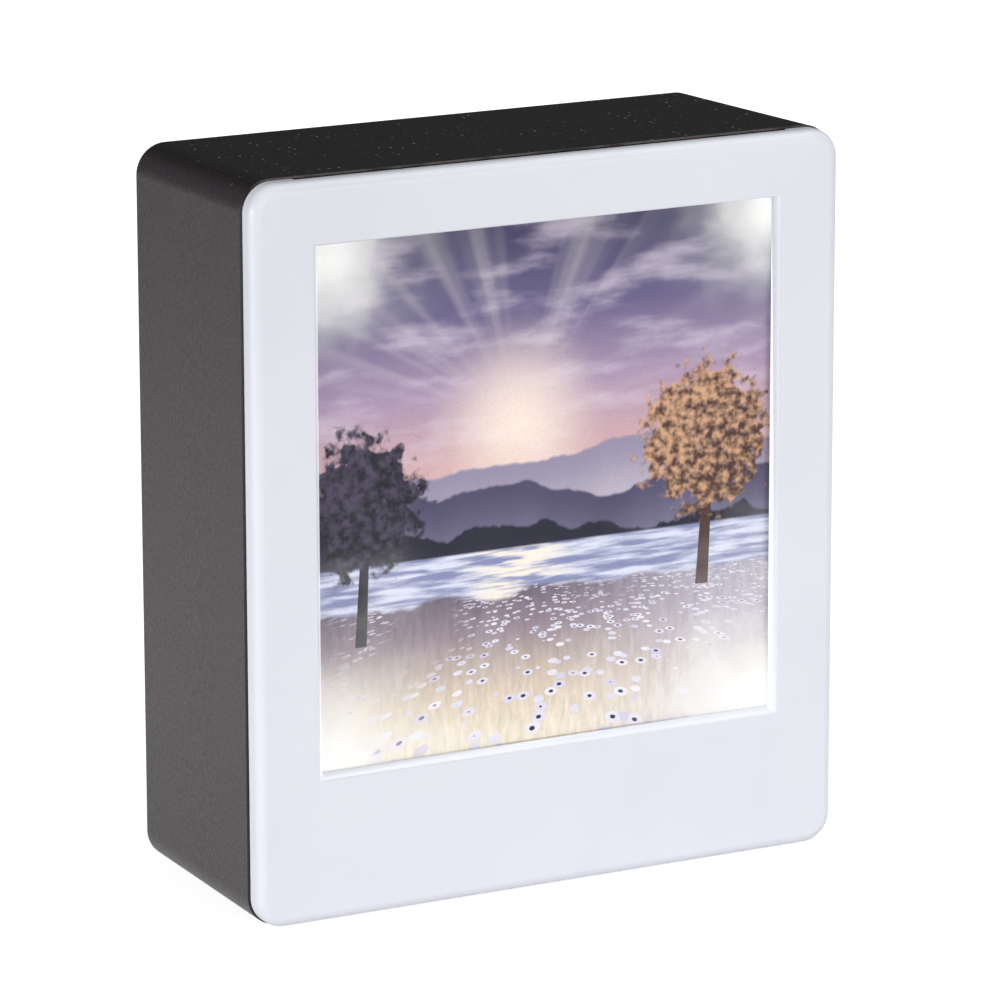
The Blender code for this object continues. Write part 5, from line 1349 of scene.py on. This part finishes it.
def sleeve_finish(name, colour, worn):
    made = Finish(name, {"IOR": 1.48, "Specular IOR Level": 0.4})
    mottle = made.noise(1.2)
    rub = made.noise(0.5, 3.0, shift=5.0)
    made.bump(rub, 0.012)
    return made.give({"Base Color": made.mix(mottle.smooth(0.3, 0.8), colour, worn),
                      "Roughness": 0.4 + rub * 0.18})


swept_wire = wire_tree()
sleeves = {"wire_red": sleeve_finish("wire_red", (172, 30, 28), (190, 44, 38)),
           "wire_black": sleeve_finish("wire_black", (24, 24, 26), (38, 38, 40))}
for node, route in ROUTES.items():
    kind = "wire_black" if node in ("wire_cell_to_board", "wire_link_negative") else "wire_red"
    sleeve = grow(node + "_sleeve", polyline(node, smooth_route(whole_route(*route))), swept_wire,
                  {"Radius": WIRE_RADIUS, "Sides": 16, "Finish": sleeves[kind]})
    fit(sleeve, "frame", kind, sleeves[kind], node)

# %% [markdown]
# ## The floor, the light and the camera
# The object stands on a plain pale floor. To the camera, and in glossy or clear surfaces, the
# floor is mostly plain white, and a part of its lit surface is kept so that the object's shadow
# stays. In gloss that white fades a metre away, as a table's sheet of paper would end. The light
# is soft: large lamps at the left, the front, the back and the top, and a dim even sky.

# %% Floor
FLOOR_HALF = 6.0
GLOSS_FADE = (250.0, 1000.0)
LIT_SHARE = 0.13


def floor_finish():
    made = Finish("floor", {"Base Color": screen(196, 196, 198), "Roughness": 0.9, "Specular IOR Level": 0.0,
                            "Emission Strength": 1.0})
    x, y, _ = made.split(made.place)
    near = 1 - ((x * x + y * y) ** 0.5).smooth(*GLOSS_FADE)
    path = made.add("ShaderNodeLightPath", out="Is Camera Ray")
    seen = path.most(path.other("Is Transmission Ray")).most(path.other("Is Glossy Ray") * near)
    return made.give({"Emission Color": made.shade((1.0, 1.0, 1.0), seen * (1 - near * LIT_SHARE))})


corners = [(x * FLOOR_HALF, y * FLOOR_HALF, 0.0) for x, y in ((-1, -1), (1, -1), (1, 1), (-1, 1))]
floor = solid("floor", corners, [(0, 1, 2, 3)])
floor.data.materials.append(floor_finish())
floor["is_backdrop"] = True

# %% Lamps and sky
AIM = Vector((0.0, 0.0, 0.07))
SKY_LIGHT = 0.13
SOFTBOXES = {  # place, width and height, watts, and whether it shows in gloss
    "side_softbox": ((-1.15, -0.25, 0.14), (0.8, 0.26), 9.8, True),
    "front_softbox": ((0.2, -1.3, 0.11), (1.0, 0.2), 8.7, True),
    "back_softbox": ((-0.1, 1.2, 0.12), (0.9, 0.2), 5.0, False),
    "top_softbox": ((0.45, -0.35, 1.0), (0.8, 0.8), 6.5, True)}
for name, (place, size, watts, in_gloss) in SOFTBOXES.items():
    light = bpy.data.lights.new(name, "AREA")
    light.shape = "RECTANGLE"
    light.size, light.size_y = size
    light.energy = watts
    lamp = link(name, light)
    lamp.location = place
    lamp.rotation_euler = (AIM - Vector(place)).to_track_quat("-Z", "Y").to_euler()
    lamp.visible_glossy = in_gloss

world = bpy.data.worlds.new("sky")
bpy.context.scene.world = world
world.use_nodes = True
sky = Nodes(world.node_tree)
path = sky.add("ShaderNodeLightPath", out="Is Camera Ray")
seen = path.most(path.other("Is Transmission Ray"))
backdrop = world.node_tree.nodes["Background"].inputs
sky.feed(backdrop["Strength"], seen + (1 - seen) * SKY_LIGHT)
backdrop["Color"].default_value = (1.0, 1.0, 1.0, 1.0)

# %% [markdown]
# The camera stands to the left and a little above, with a long lens, so the near and far edges
# run almost parallel. Its place, turn and lens come from fitting the case's edges to where the
# photograph shows them.

# %% Camera
YAW, PITCH, ROLL = 0.4844, 0.2457, -0.0019
CAMERA_PLACE = (-0.52009, -0.99351, 0.35173)
FOCAL_LENGTH = 216.10
forward = Vector((math.sin(YAW) * math.cos(PITCH), math.cos(YAW) * math.cos(PITCH), -math.sin(PITCH)))
level = Vector((math.cos(YAW), -math.sin(YAW), 0.0))
upward = level.cross(forward)
right = level * math.cos(ROLL) + upward * math.sin(ROLL)
upward = upward * math.cos(ROLL) - level * math.sin(ROLL)
turn = Matrix((right, upward, -forward)).transposed().to_4x4()
camera = link("camera", bpy.data.cameras.new("camera"))
camera.matrix_world = Matrix.Translation(CAMERA_PLACE) @ turn
camera.data.lens = FOCAL_LENGTH
camera.data.sensor_width = 36.0
camera.data.clip_start = 0.05
camera.data.clip_end = 50.0
bpy.context.scene.camera = camera
bpy.context.scene.view_settings.view_transform = "Standard"
print("camera in mm:", [round(v / MM) for v in camera.matrix_world.translation])

# %% Finish
sizes = {"cad": cad_box, "visual": [list(corner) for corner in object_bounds()]}
print("sizes:", sizes)
